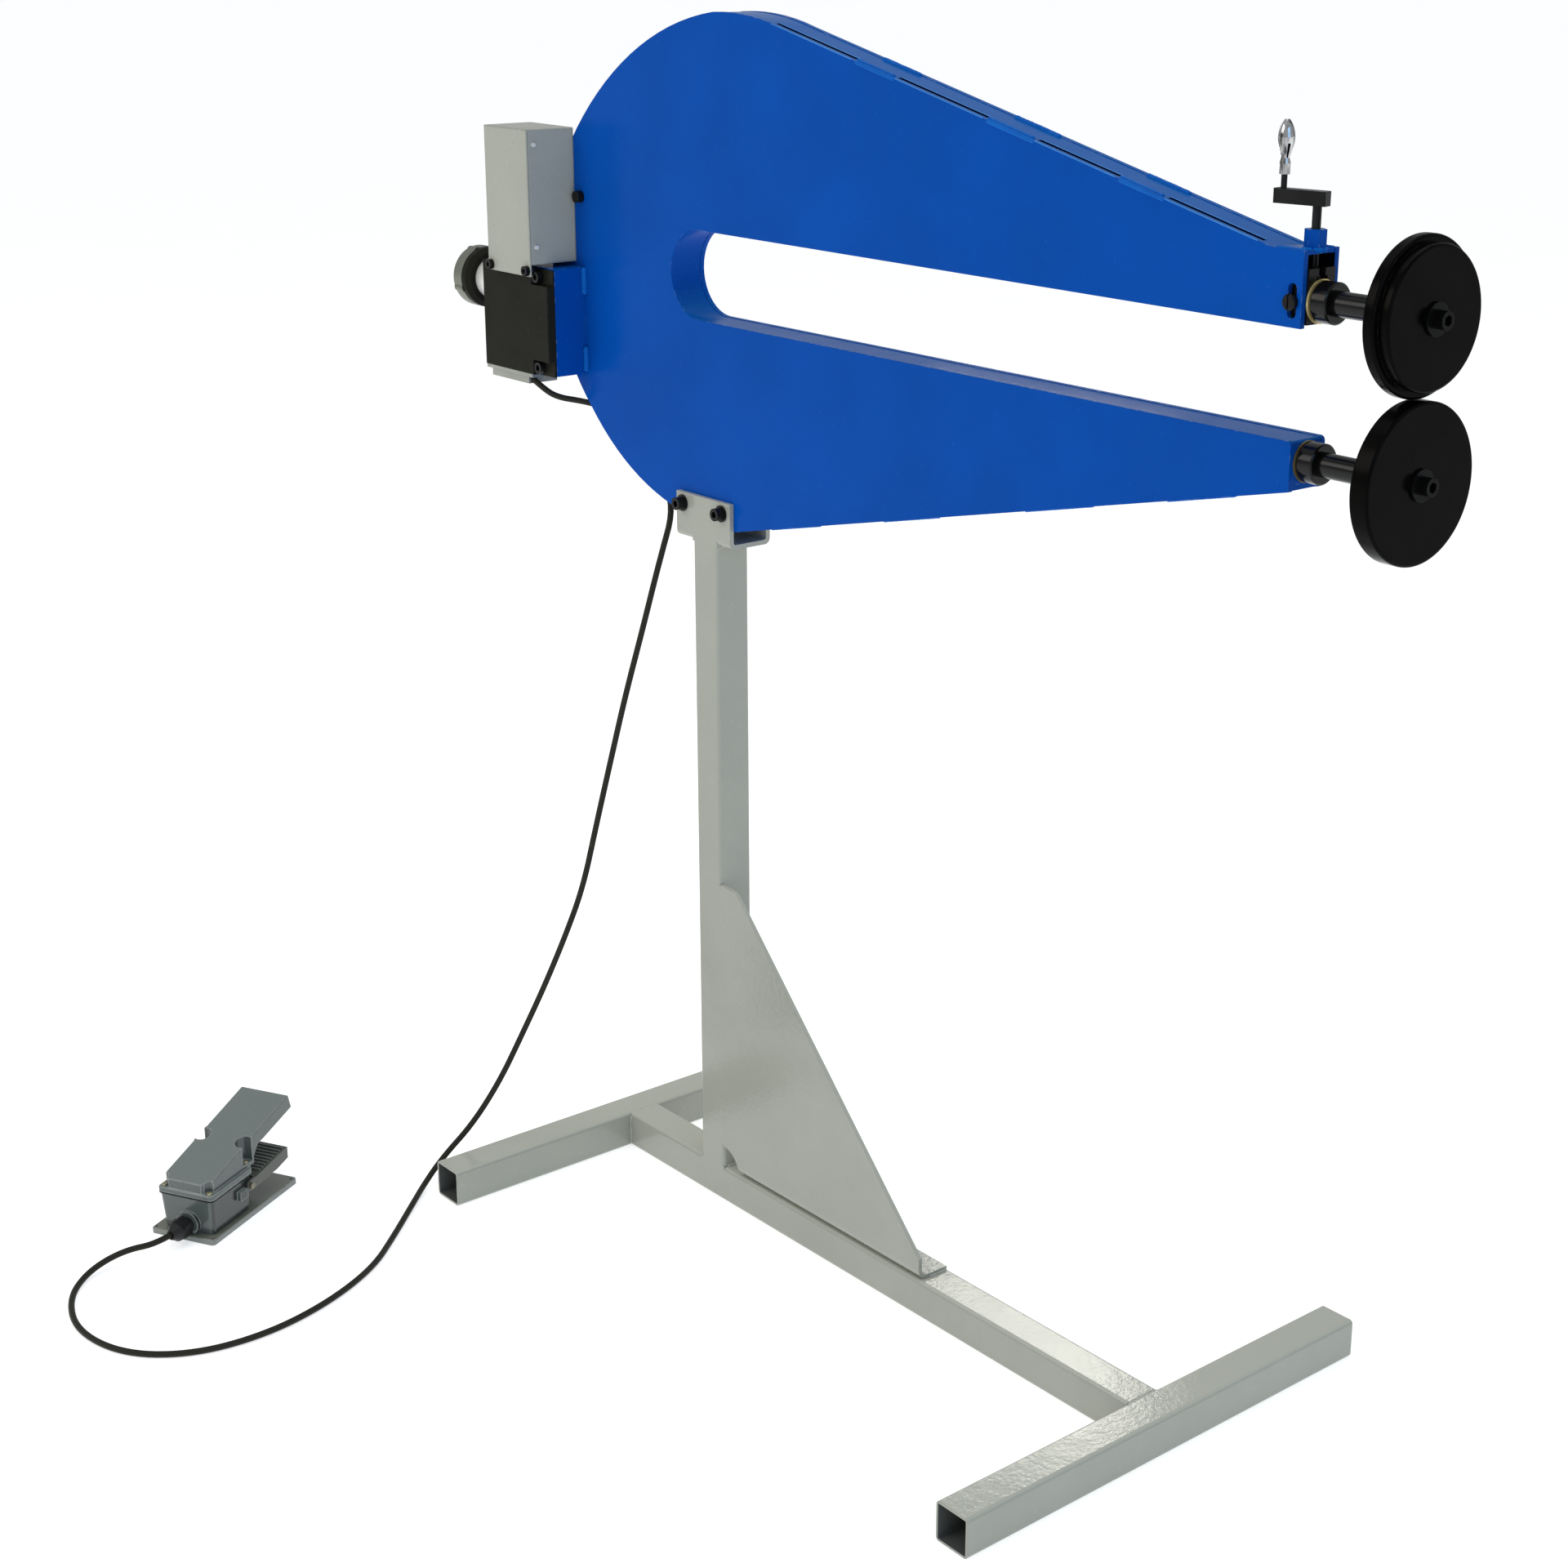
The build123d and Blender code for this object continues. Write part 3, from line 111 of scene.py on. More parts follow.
# Strengths as shares, depths and radii in metres
ZONE_BLEND = 0.001
EDGE_SAMPLES = 4
SPECK_SHARE = 0.35
DUST_GAIN = 1.25
DUST_LIFT = 0.02
PAINT_ROUGH = (0.8, 1.3)
PEEL_DEPTH = 0.0005
WAVE_SHARE = 0.5
METAL_ROUGH = (0.75, 1.35)
METAL_EDGE = 0.0004
METAL_RUB_AND_GLINT = 0.3
GRAIN_SHARE = 0.12
GRAIN_DEPTH = 0.0003

# Sockets of the mix node that hold colours
MIX_FIRST = 6
MIX_SECOND = 7
MIX_RESULT = 2


class Shader:
    """A principled material, with a method for each set of nodes that the finishes use."""

    def __init__(self, name):
        self.mat = bpy.data.materials.new(name)
        self.mat.use_nodes = True
        self.tree = self.mat.node_tree
        self.bsdf = self.tree.nodes["Principled BSDF"]
        self.coord = self.add("ShaderNodeTexCoord").outputs["Object"]

    def add(self, kind, **values):
        node = self.tree.nodes.new(kind)
        for key, value in values.items():
            setattr(node, key, value)
        return node

    def link(self, out, socket):
        self.tree.links.new(out, socket)

    def noise(self, scale, detail, rough=0.55, stretch=None):
        """Noise in the shared frame."""
        node = self.add("ShaderNodeTexNoise")
        node.inputs["Scale"].default_value = scale
        node.inputs["Detail"].default_value = detail
        node.inputs["Roughness"].default_value = rough
        source = self.coord
        if stretch:
            mapping = self.add("ShaderNodeMapping")
            mapping.inputs["Scale"].default_value = stretch
            self.link(self.coord, mapping.inputs["Vector"])
            source = mapping.outputs["Vector"]
        self.link(source, node.inputs["Vector"])
        return node.outputs["Fac"]

    def span(self, value, low, high, to_low=0.0, to_high=1.0):
        """Turns a value's range, low to high, into another, and holds it past the ends."""
        node = self.add("ShaderNodeMapRange")
        node.inputs["From Min"].default_value = low
        node.inputs["From Max"].default_value = high
        node.inputs["To Min"].default_value = to_low
        node.inputs["To Max"].default_value = to_high
        self.link(value, node.inputs["Value"])
        return node.outputs["Result"]

    def mix(self, share, first, second):
        """From the first colour, at a share of 0, to the second, at 1."""
        node = self.add("ShaderNodeMix", data_type="RGBA")
        self.link(share, node.inputs["Factor"])
        for value, socket in ((first, node.inputs[MIX_FIRST]), (second, node.inputs[MIX_SECOND])):
            if isinstance(value, tuple):
                socket.default_value = (*value, 1.0)
            else:
                self.link(value, socket)
        return node.outputs[MIX_RESULT]

    def combine(self, operation, first, second):
        node = self.add("ShaderNodeMath", operation=operation)
        self.link(first, node.inputs[0])
        self.link(second, node.inputs[1])
        return node.outputs["Value"]

    def vector(self, operation, first, second=None):
        """A vector operation on an output, with another output or a plain vector."""
        node = self.add("ShaderNodeVectorMath", operation=operation)
        self.link(first, node.inputs[0])
        if isinstance(second, tuple):
            node.inputs[1].default_value = second
        elif second:
            self.link(second, node.inputs[1])
        return node.outputs["Value" if operation == "DOT_PRODUCT" else "Vector"]

    def true_normal(self):
        return self.add("ShaderNodeNewGeometry").outputs["True Normal"]

    def edge(self, radius):
        """The surface's normal, rounded along edges."""
        bevel = self.add("ShaderNodeBevel", samples=EDGE_SAMPLES)
        bevel.inputs["Radius"].default_value = radius
        return bevel.outputs["Normal"]

    def edge_mask(self, soft, reach):
        """0 on flat faces, 1 along edges, where the rounded normal leaves the face's own."""
        return self.span(self.vector("DOT_PRODUCT", soft, self.true_normal()), 1.0, 1.0 - reach)

    def facing(self, direction):
        """1 on faces that look along a direction, 0 on faces across it."""
        return self.span(self.vector("DOT_PRODUCT", self.true_normal(), direction), *FACING)

    def inside(self, low, high):
        """1 inside a box of the shared frame, 0 outside."""
        middle = tuple((a + b) / 2 for a, b in zip(low, high))
        half = tuple((b - a) / 2 for a, b in zip(low, high))
        scaled = self.vector("DIVIDE", self.vector("SUBTRACT", self.coord, middle), half)
        parts = self.add("ShaderNodeSeparateXYZ")
        self.link(self.vector("ABSOLUTE", scaled), parts.inputs["Vector"])
        across = self.combine("MAXIMUM", parts.outputs["X"], parts.outputs["Y"])
        return self.span(self.combine("MAXIMUM", across, parts.outputs["Z"]), 1.0, 1.0 - ZONE_BLEND)

    def bump(self, height, strength, distance, normal):
        node = self.add("ShaderNodeBump")
        node.inputs["Strength"].default_value = strength
        node.inputs["Distance"].default_value = distance
        self.link(height, node.inputs["Height"])
        self.link(normal, node.inputs["Normal"])
        return node.outputs["Normal"]

    def vary_roughness(self, rough, pattern, shares):
        """Roughness that a pattern moves between two shares of its value."""
        sleek, dull = (rough * share for share in shares)
        self.link(self.span(self.noise(*pattern), *BROAD, sleek, dull), self.bsdf.inputs["Roughness"])


def paint(name, colour, shade, rough, peel, chip_and_glint=None, gloss=0.3, edge=0.0008, zones=(), top_shading=None, side_shade=None,
          wave=0.002, worn_and_glinting=(0.52, 0.62), rub_and_glint_reach=0.25):
    """Enamel or moulding: clouds of shade, dust, orange peel, chipped paint and painted highlights on edges.

    The tint for faces that look up is painted light on them, and painted shade where it is darker; the tint
    for the pedal's side is painted shade on that wall of its case; zones are boxes of another tone. Chipped
    paint and painted highlights along edges fade in over a span of noise, and a small reach spreads them
    further from the edges.
    """
    s = Shader(name)
    soft = s.edge(edge)
    base = s.mix(s.span(s.noise(*CLOUDS), *MIDDLE), colour, shade)
    # Painted light on the faces that look up, painted shade where this tint is darker than the colour
    if top_shading:
        base = s.mix(s.facing(UP), base, top_shading)
    # Painted shade on the side wall of the pedal's case
    if side_shade:
        base = s.mix(s.facing(PEDAL_SIDE), base, side_shade)
    dust = tuple(min(1.0, c * DUST_GAIN + DUST_LIFT) for c in colour)
    base = s.mix(s.span(s.noise(*SPECKS), *PEAKS, 0.0, SPECK_SHARE), base, dust)
    # Chipped paint and painted highlights along the edges
    if chip_and_glint:
        rubbed_and_glinting = s.combine("MULTIPLY", s.edge_mask(soft, rub_and_glint_reach), s.span(s.noise(*CHIPS_AND_GLINTS), *worn_and_glinting))
        base = s.mix(rubbed_and_glinting, base, chip_and_glint)
    for low, high, tone in zones:
        base = s.mix(s.inside(low, high), base, tone)
    s.link(base, s.bsdf.inputs["Base Color"])
    s.vary_roughness(rough, SMEARS, PAINT_ROUGH)
    s.bsdf.inputs["Specular IOR Level"].default_value = gloss
    fine = s.bump(s.noise(*PEEL), peel, PEEL_DEPTH, soft)
    s.link(s.bump(s.noise(*WAVES), peel * WAVE_SHARE, wave, fine), s.bsdf.inputs["Normal"])
    return s.mat


def metal(name, colour, shade, rough, metallic=1.0, grain=(1, 1, 1), wear_and_glint=None, gloss=0.5, streak=None):
    """Turned, plated or blackened metal with stains, lighter edges of bare metal and of painted highlight,
    and a fine grain.

    grain and streak stretch the noise of the grain and of the stains along the axes.
    """
    s = Shader(name)
    soft = s.edge(METAL_EDGE)
    base = s.mix(s.span(s.noise(*STAINS, stretch=streak), *MIDDLE), colour, shade)
    # Bare metal and painted highlights along the edges
    if wear_and_glint:
        worn_and_glinting = s.combine("MULTIPLY", s.edge_mask(soft, METAL_RUB_AND_GLINT), s.span(s.noise(*SCUFFS_AND_GLINTS), *SCUFFED_AND_GLINTING))
        base = s.mix(worn_and_glinting, base, wear_and_glint)
    s.link(base, s.bsdf.inputs["Base Color"])
    s.bsdf.inputs["Metallic"].default_value = metallic
    s.bsdf.inputs["Specular IOR Level"].default_value = gloss
    s.vary_roughness(rough, FILM, METAL_ROUGH)
    s.link(s.bump(s.noise(*GRAIN, stretch=grain), GRAIN_SHARE, GRAIN_DEPTH, soft), s.bsdf.inputs["Normal"])
    return s.mat


# Zones of another tone, as low corner, high corner and tone
# Near black, for painted shade
NOSE_SHADE_TONE = (0.003, 0.004, 0.008)
MILL_SCALE = (0.100, 0.105, 0.100)
TUBE_WALL = 0.003
BORE_SKIN = 0.0002
BORE_REACH = 0.60
# Painted shade in the hollow of the nose, between the plates
NOSE_HOLLOW_SHADE = [((0.880, -0.0131, 1.2982), (0.9395, 0.0261, 1.3665), NOSE_SHADE_TONE)]


def tube_bore(node):
    """The inside of a base tube with a skin of its wall, out past both of its open ends."""
    low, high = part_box(node)
    inset = TUBE_WALL - BORE_SKIN
    near = (low.x + inset, -BORE_REACH, low.z + inset)
    far = (high.x - inset, BORE_REACH, high.z - inset)
    return near, far, MILL_SCALE


# Tones that are used more than once
STAND_GREY = (0.335, 0.345, 0.296)
STAND_SHADE = (0.31, 0.32, 0.275)
PEDAL_GREY = (0.088, 0.106, 0.102)
PEDAL_SHADE = (0.074, 0.090, 0.086)
# Painted light on the pedal's faces that look up
PEDAL_TOP_SHADING = (0.170, 0.200, 0.186)
BLACKENED = (0.004, 0.004, 0.004)
BLACKENED_SHADE = (0.003, 0.003, 0.003)
BLACK_WEAR = (0.10, 0.10, 0.095)
BELL_ALLOY = (0.17, 0.18, 0.145)
ADAPTER_ALLOY = (0.85, 0.86, 0.83)

# The finish of each material slot
slot_finish = {
    # Faces that look up get painted light; rust along the edges and mill scale inside the tubes
    "grey_paint": paint(
        "grey_enamel", STAND_GREY, STAND_SHADE, rough=0.13, peel=0.60, chip_and_glint=(0.20, 0.11, 0.06), gloss=0.45,
        zones=[tube_bore("base_front_tube"), tube_bore("base_rear_tube")], top_shading=(0.46, 0.47, 0.40),
        wave=0.0006,
    ),
    # Faces that look up get painted light, edges painted highlights, and the hollow of the nose painted shade
    "blue_paint": paint(
        "blue_enamel", (0.001, 0.070, 0.385), (0.001, 0.062, 0.34), rough=0.20, peel=0.10,
        chip_and_glint=(0.28, 0.42, 0.68), gloss=0.03, zones=NOSE_HOLLOW_SHADE, top_shading=(0.002, 0.100, 0.385),
    ),
    "black_steel": metal(
        "black_oxide", (0.013, 0.013, 0.012), (0.008, 0.008, 0.008), rough=0.32, metallic=0.4,
        wear_and_glint=BLACK_WEAR, gloss=0.2,
    ),
    # Lighter edges: bare metal and painted highlights on the rims
    "roll_steel": metal(
        "roll_black_oxide", (0.0024, 0.0021, 0.0018), (0.0014, 0.0012, 0.0010), rough=0.16, metallic=0.0,
        grain=(1, 6, 6), wear_and_glint=(0.10, 0.10, 0.09), gloss=0.03,
    ),
    "roll_hardware": metal(
        "screw_black_oxide", BLACKENED, BLACKENED_SHADE, rough=0.24, metallic=0.0, wear_and_glint=(0.09, 0.09, 0.09),
        gloss=0.06,
    ),
    "bronze": metal("turned_bronze", (0.86, 0.68, 0.30), (0.74, 0.56, 0.22), rough=0.26, metallic=0.6),
    "chrome": metal("polished_chrome", (0.70, 0.70, 0.70), (0.06, 0.06, 0.06), rough=0.07, streak=(5, 5, 1)),
    "gear_steel": metal("machined_steel", (0.45, 0.45, 0.46), (0.36, 0.36, 0.37), rough=0.32),
    "black_paint": paint(
        "satin_black", (0.017, 0.017, 0.013), (0.014, 0.014, 0.011), rough=0.38, peel=0.10,
        chip_and_glint=(0.09, 0.09, 0.08), gloss=0.03,
    ),
    "cast_alloy": metal("cast_alloy", (0.36, 0.37, 0.325), (0.30, 0.31, 0.27), rough=0.36, metallic=0.45),
    "box_paint": paint(
        "box_grey", (0.375, 0.385, 0.335), (0.35, 0.36, 0.31), rough=0.28, peel=0.04, gloss=0.2, edge=0.004,
    ),
    "zinc": metal("bright_zinc", (0.74, 0.74, 0.70), (0.60, 0.60, 0.57), rough=0.30, metallic=0.0, gloss=0.2),
    # Painted light on faces that look up, painted highlights and chipped paint along edges
    "pedal_paint": paint(
        "pedal_grey", PEDAL_GREY, PEDAL_SHADE, rough=0.17, peel=0.22, chip_and_glint=(0.42, 0.46, 0.43), gloss=0.6,
        edge=0.0022, top_shading=PEDAL_TOP_SHADING, worn_and_glinting=(0.25, 0.45), rub_and_glint_reach=0.12,
    ),
    "yellow_zinc": metal("yellow_zinc", (0.52, 0.47, 0.30), (0.40, 0.36, 0.24), rough=0.30, metallic=0.6),
    "black_rubber": paint(
        "black_rubber", (0.008, 0.008, 0.007), (0.006, 0.006, 0.005), rough=0.42, peel=0.10, gloss=0.1,
    ),
    "black_plastic": paint(
        "black_nylon", (0.014, 0.014, 0.014), (0.010, 0.010, 0.010), rough=0.36, peel=0.12,
        chip_and_glint=(0.05, 0.05, 0.05),
    ),
}

# Finishes of the pieces that are added here
# A lighter copy of the blue enamel: painted light on the weld beads
lit_bead_blue = paint(
    "lit_blue_bead", (0.004, 0.125, 0.500), (0.002, 0.095, 0.430), rough=0.14, peel=0.10, gloss=0.04,
)
glint_blue = paint(
    "blue_glint", (0.060, 0.270, 0.700), (0.030, 0.200, 0.600), rough=0.3, peel=0.05, gloss=0.05,
)
cord_black = paint(
    "cord_sheath", (0.028, 0.027, 0.020), (0.022, 0.021, 0.016), rough=0.42, peel=0.10, gloss=0.1,
)
filler_grey = paint(
    "grey_filler", STAND_GREY, STAND_SHADE, rough=0.13, peel=0.60, gloss=0.45, edge=0.0,
)
seam_dark = paint(
    "seam_shadow", (0.001, 0.004, 0.022), (0.001, 0.003, 0.016), rough=0.5, peel=0.05, gloss=0.0,
)

# Nodes that look unlike the rest of their slot
oiled_black = metal(
    "oiled_black", BLACKENED, BLACKENED_SHADE, rough=0.15, metallic=0.0, wear_and_glint=BLACK_WEAR, gloss=0.22,
)
node_finish = {
    "lower_shaft": oiled_black,
    "lower_collar": oiled_black,
    "upper_shaft": oiled_black,
    "upper_collar": oiled_black,
    "lower_bush": metal(
        "dulled_bronze", (0.20, 0.155, 0.07), (0.15, 0.115, 0.05), rough=0.32, metallic=0.5,
    ),
    "motor_end_bell": metal("bell_alloy", BELL_ALLOY, BELL_ALLOY, rough=0.36, metallic=0.45),
    "motor_adapter": metal("adapter_alloy", ADAPTER_ALLOY, ADAPTER_ALLOY, rough=0.36, metallic=0.45),
    "pedal_pivot_screws": metal(
        "dulled_zinc", (0.20, 0.19, 0.13), (0.15, 0.14, 0.10), rough=0.34, metallic=0.5,
    ),
    # Painted light on faces that look up, painted shade on the side wall, painted highlights and chipped
    # paint along edges
    "pedal_case": paint(
        "case_grey", PEDAL_GREY, PEDAL_SHADE, rough=0.17, peel=0.22, chip_and_glint=(0.36, 0.40, 0.38), gloss=0.6,
        edge=0.0022, top_shading=PEDAL_TOP_SHADING, side_shade=(0.024, 0.030, 0.028), worn_and_glinting=(0.30, 0.50), rub_and_glint_reach=0.16,
    ),
    # Painted light on faces that look up, painted highlights along the ribs' edges
    "pedal_treadle": paint(
        "treadle_grey", (0.064, 0.070, 0.056), (0.056, 0.062, 0.049), rough=0.20, peel=0.15,
        chip_and_glint=(0.30, 0.31, 0.27), gloss=0.5, edge=0.0012, top_shading=(0.080, 0.086, 0.070), worn_and_glinting=(0.20, 0.40),
        rub_and_glint_reach=0.20,
    ),
    # Painted shade on faces that look up, painted highlights and chipped paint along edges
    "pedal_base": paint(
        "base_grey", (0.200, 0.215, 0.200), (0.175, 0.190, 0.178), rough=0.17, peel=0.22,
        chip_and_glint=(0.38, 0.40, 0.36), gloss=0.6, edge=0.0022, top_shading=(0.165, 0.172, 0.135), worn_and_glinting=(0.30, 0.50),
        rub_and_glint_reach=0.16,
    ),
}


def dress_nodes():
    """Every CAD node gets its slot's finish, or its own."""
    for part in frame["record"]["subparts"]:
        finish = node_finish.get(part["node"], slot_finish[part["material_slot"]])
        for place in nodes[part["node"]].material_slots:
            place.material = finish


def add_piece(name, data, material):
    """A new piece on the stand."""
    piece = bpy.data.objects.new(name, data)
    bpy.context.scene.collection.objects.link(piece)
    data.materials.append(material)
    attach(piece, "stand")
    return piece


# Cable from the gear head to the pedal: the route's own points
CABLE_D = 0.008
CABLE_FLOOR = 0.0042
CABLE_ROUTE = [
    (-0.32295, -0.0661, 1.08288), (-0.3000, -0.0580, 1.0660), (-0.2855, -0.0460, 1.0570),
    (-0.2720, -0.0240, 1.0525), (-0.2560, -0.0050, 1.0470), (-0.2320, 0.0050, 1.0370),
    (-0.1720, 0.0065, 0.9895), (-0.1000, 0.0060, 0.9480), (-0.1150, -0.0140, 0.8600),
    (-0.1255, -0.0337, 0.7750), (-0.1340, -0.0565, 0.6900), (-0.1460, -0.0745, 0.6000),
    (-0.1580, -0.0935, 0.5050), (-0.1680, -0.1100, 0.4200), (-0.1830, -0.1310, 0.3500),
    (-0.1990, -0.1580, 0.2760), (-0.2160, -0.1850, 0.2080), (-0.2320, -0.2120, 0.1430),
    (-0.2550, -0.2440, 0.0790), (-0.2830, -0.2770, 0.0280), (-0.2660, -0.3180, 0.0072),
    (-0.2300, -0.3590, CABLE_FLOOR), (-0.1720, -0.4210, CABLE_FLOOR), (-0.1150, -0.4860, CABLE_FLOOR),
    (-0.0740, -0.5750, CABLE_FLOOR), (-0.0560, -0.6680, CABLE_FLOOR), (-0.0700, -0.7570, CABLE_FLOOR),
    (-0.1240, -0.8220, CABLE_FLOOR), (-0.2100, -0.8430, CABLE_FLOOR), (-0.2900, -0.8180, CABLE_FLOOR),
    (-0.3360, -0.7720, 0.0062), (-0.3380, -0.7220, 0.0182), (-0.31948, -0.67682, 0.0215),
    (-0.34304, -0.63215, 0.0215),
]
CABLE_STEPS = 8
SHEATH_STEPS = 5


def add_cable():
    curve = bpy.data.curves.new("pedal_cord", "CURVE")
    curve.dimensions = "3D"
    spline = curve.splines.new("NURBS")
    spline.points.add(len(CABLE_ROUTE) - 1)
    for point, place in zip(spline.points, CABLE_ROUTE):
        point.co = (*place, 1.0)
    spline.order_u = 3
    spline.use_endpoint_u = True
    spline.resolution_u = CABLE_STEPS
    curve.bevel_depth = CABLE_D / 2
    curve.bevel_resolution = SHEATH_STEPS
    curve.use_fill_caps = True
    cord = add_piece("pedal_cord", curve, cord_black)
    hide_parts("pedal_cable")


# Weld beads, in millimetres of the shared frame
BEAD_PITCH = 3.4
BEAD_RINGS = 4
BEAD_FEWEST = 8
BEAD_SIDES = 10
BEAD_RIPPLE = 0.16
BEAD_SCATTER = 0.05
BEAD_TIP = 0.02


def corners(node):
    """A node's lowest and highest corners at rest, in millimetres."""
    return [Vector([round(value / MM, 3) for value in corner]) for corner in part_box(node)]


def solid_mesh(name, bm):
    mesh = bpy.data.meshes.new(name)
    bmesh.ops.recalc_face_normals(bm, faces=bm.faces)
    bm.to_mesh(mesh)
    bm.free()
    return mesh


def bead(bm, start, end, radius):
    """A rippled weld bead with round ends."""
    a = Vector(start)
    b = Vector(end)
    along = (b - a).normalized()
    side = along.orthogonal().normalized()
    lift = along.cross(side)
    length = (b - a).length
    count = max(BEAD_FEWEST, int(length / (BEAD_PITCH / BEAD_RINGS)))
    rings = []
    for i in range(count + 1):
        s = length * i / count
        near_end = min(s, length - s)
        round_off = math.sqrt(max(0.0, 1.0 - max(0.0, 1.0 - near_end / radius) ** 2))
        ripple = 1.0 - BEAD_RIPPLE + BEAD_RIPPLE * abs(math.cos(math.pi * s / BEAD_PITCH))
        uneven = rng.uniform(1.0 - BEAD_SCATTER, 1.0 + BEAD_SCATTER)
        r = radius * round_off * ripple * uneven + BEAD_TIP
        centre = a + along * s
        ring = []
        for k in range(BEAD_SIDES):
            t = 2 * math.pi * k / BEAD_SIDES
            ring.append(bm.verts.new((centre + side * math.cos(t) * r + lift * math.sin(t) * r) * MM))
        rings.append(ring)
    for one, two in zip(rings, rings[1:]):
        for k in range(BEAD_SIDES):
            n = (k + 1) % BEAD_SIDES
            bm.faces.new((one[k], one[n], two[n], two[k])).smooth = True
    bm.faces.new(rings[0])
    bm.faces.new(rings[-1])


def prism(bm, section, run):
    """A closed section carried along a run."""
    near = [bm.verts.new(Vector(point) * MM) for point in section]
    far = [bm.verts.new((Vector(point) + Vector(run)) * MM) for point in section]
    bm.faces.new(near)
    bm.faces.new(far)
    for k in range(len(section)):
        n = (k + 1) % len(section)
        bm.faces.new((near[k], near[n], far[n], far[k]))


def filler(bm, corner, steps, run):
    """A ground weld in a corner: its section's points are steps from the corner."""
    prism(bm, [Vector(corner) + Vector(step) for step in steps], run)


# Welds of the stand: R is a bead's radius, and the other lengths set its line from a face or an end
SPINE_LOW, SPINE_HIGH = corners("base_spine_tube")
COLUMN_LOW, COLUMN_HIGH = corners("column")
GUSSET_TIP = corners("gusset")[1]
ACROSS_COLUMN = (COLUMN_HIGH.x - COLUMN_LOW.x, 0.0, 0.0)
SPINE_BEAD_R = 3.2
SPINE_BEAD_OVER = 2.0
SPINE_BEAD_SINK = 2.6
SPINE_BEAD_INSET = 1.0
SPINE_SIDE_R = 2.6
SPINE_SIDE_BACK = 0.8
SPINE_SIDE_INSET = 4.0
COLUMN_BEAD_R = 3.0
COLUMN_BEAD_INSET = 5.0
COLUMN_SIDE_INSET = 3.0
FOOT_PROUD = 0.05
GROUND_PROUD = 0.04
GUSSET_BEAD_R = 2.8
GUSSET_BEAD_BACK = 5.4
GUSSET_COLUMN_WELDS = (120.0, 215.0, 310.0, 405.0)
GUSSET_COLUMN_HALF = 22.0
GUSSET_SPINE_WELDS = (90.0, 190.0, 290.0, 385.0)
GUSSET_SPINE_HALF = 24.0
GUSSET_GROUND = (84.0, 458.0)
GUSSET_TIP_R = 2.4
GUSSET_TIP_Y = (-8.0, 21.0)


def weld_spine(bm):
    """The spine's ends, on the front and rear tubes."""
    near = SPINE_LOW.y + SPINE_BEAD_INSET
    far = SPINE_HIGH.y - SPINE_BEAD_INSET
    top = SPINE_HIGH.z - SPINE_BEAD_SINK
    low = SPINE_LOW.z + SPINE_SIDE_INSET
    high = SPINE_HIGH.z - SPINE_SIDE_INSET
    for end, outward in ((SPINE_HIGH.x, 1), (SPINE_LOW.x, -1)):
        x = end + outward * SPINE_BEAD_OVER
        bead(bm, (x, near, top), (x, far, top), SPINE_BEAD_R)
        x = end - outward * SPINE_SIDE_BACK
        for y in (SPINE_LOW.y, SPINE_HIGH.y):
            bead(bm, (x, y, low), (x, y, high), SPINE_SIDE_R)


def weld_column_end(bm, z):
    """Beads across the column's front and back."""
    near = COLUMN_LOW.y + COLUMN_BEAD_INSET
    far = COLUMN_HIGH.y - COLUMN_BEAD_INSET
    for x in (COLUMN_LOW.x, COLUMN_HIGH.x):
        bead(bm, (x, near, z), (x, far, z), COLUMN_BEAD_R)


def weld_column_foot(bm, ground):
    """The column on the spine: ground flush on both sides, beads at front and back."""
    for y, out in ((COLUMN_LOW.y, -1), (COLUMN_HIGH.y, 1)):
        proud = out * FOOT_PROUD
        steps = [(0, proud, -6.0), (0, proud, 1.0), (0, -out * COLUMN_BEAD_INSET, 0)]
        filler(ground, (COLUMN_LOW.x, y, COLUMN_LOW.z), steps, ACROSS_COLUMN)
    weld_column_end(bm, COLUMN_LOW.z)


def weld_gusset(bm, ground):
    """The gusset: ground flush to the column on the near side, stitched behind and along its foot."""
    bottom, top = GUSSET_GROUND
    steps = [(-6.0, -GROUND_PROUD, 0), (1.5, -GROUND_PROUD, 0), (0, 4.5, 0), (-2.6, 2.2, 0)]
    filler(ground, (COLUMN_HIGH.x, COLUMN_LOW.y, bottom), steps, (0, 0, top - bottom))
    y = COLUMN_LOW.y + GUSSET_BEAD_BACK
    for z in GUSSET_COLUMN_WELDS:
        start = (COLUMN_HIGH.x, y, z - GUSSET_COLUMN_HALF)
        bead(bm, start, (COLUMN_HIGH.x, y, z + GUSSET_COLUMN_HALF), GUSSET_BEAD_R)
    for x in GUSSET_SPINE_WELDS:
        start = (x - GUSSET_SPINE_HALF, GUSSET_TIP.y, SPINE_HIGH.z)
        bead(bm, start, (x + GUSSET_SPINE_HALF, GUSSET_TIP.y, SPINE_HIGH.z), GUSSET_BEAD_R)
    near, far = GUSSET_TIP_Y
    bead(bm, (GUSSET_TIP.x, near, SPINE_HIGH.z), (GUSSET_TIP.x, far, SPINE_HIGH.z), GUSSET_TIP_R)


def weld_saddle(bm, ground):
    """The saddle on the column: ground flush on the near side, beads on the others."""
    z = COLUMN_HIGH.z
    steps = [(0, -GROUND_PROUD, -1.0), (0, -GROUND_PROUD, 9.0), (0, 8.5, -0.1)]
    filler(ground, (COLUMN_LOW.x, COLUMN_LOW.y, z), steps, ACROSS_COLUMN)
    weld_column_end(bm, z)
    start = (COLUMN_LOW.x + COLUMN_SIDE_INSET, COLUMN_HIGH.y, z)
    bead(bm, start, (COLUMN_HIGH.x - COLUMN_SIDE_INSET, COLUMN_HIGH.y, z), COLUMN_BEAD_R)


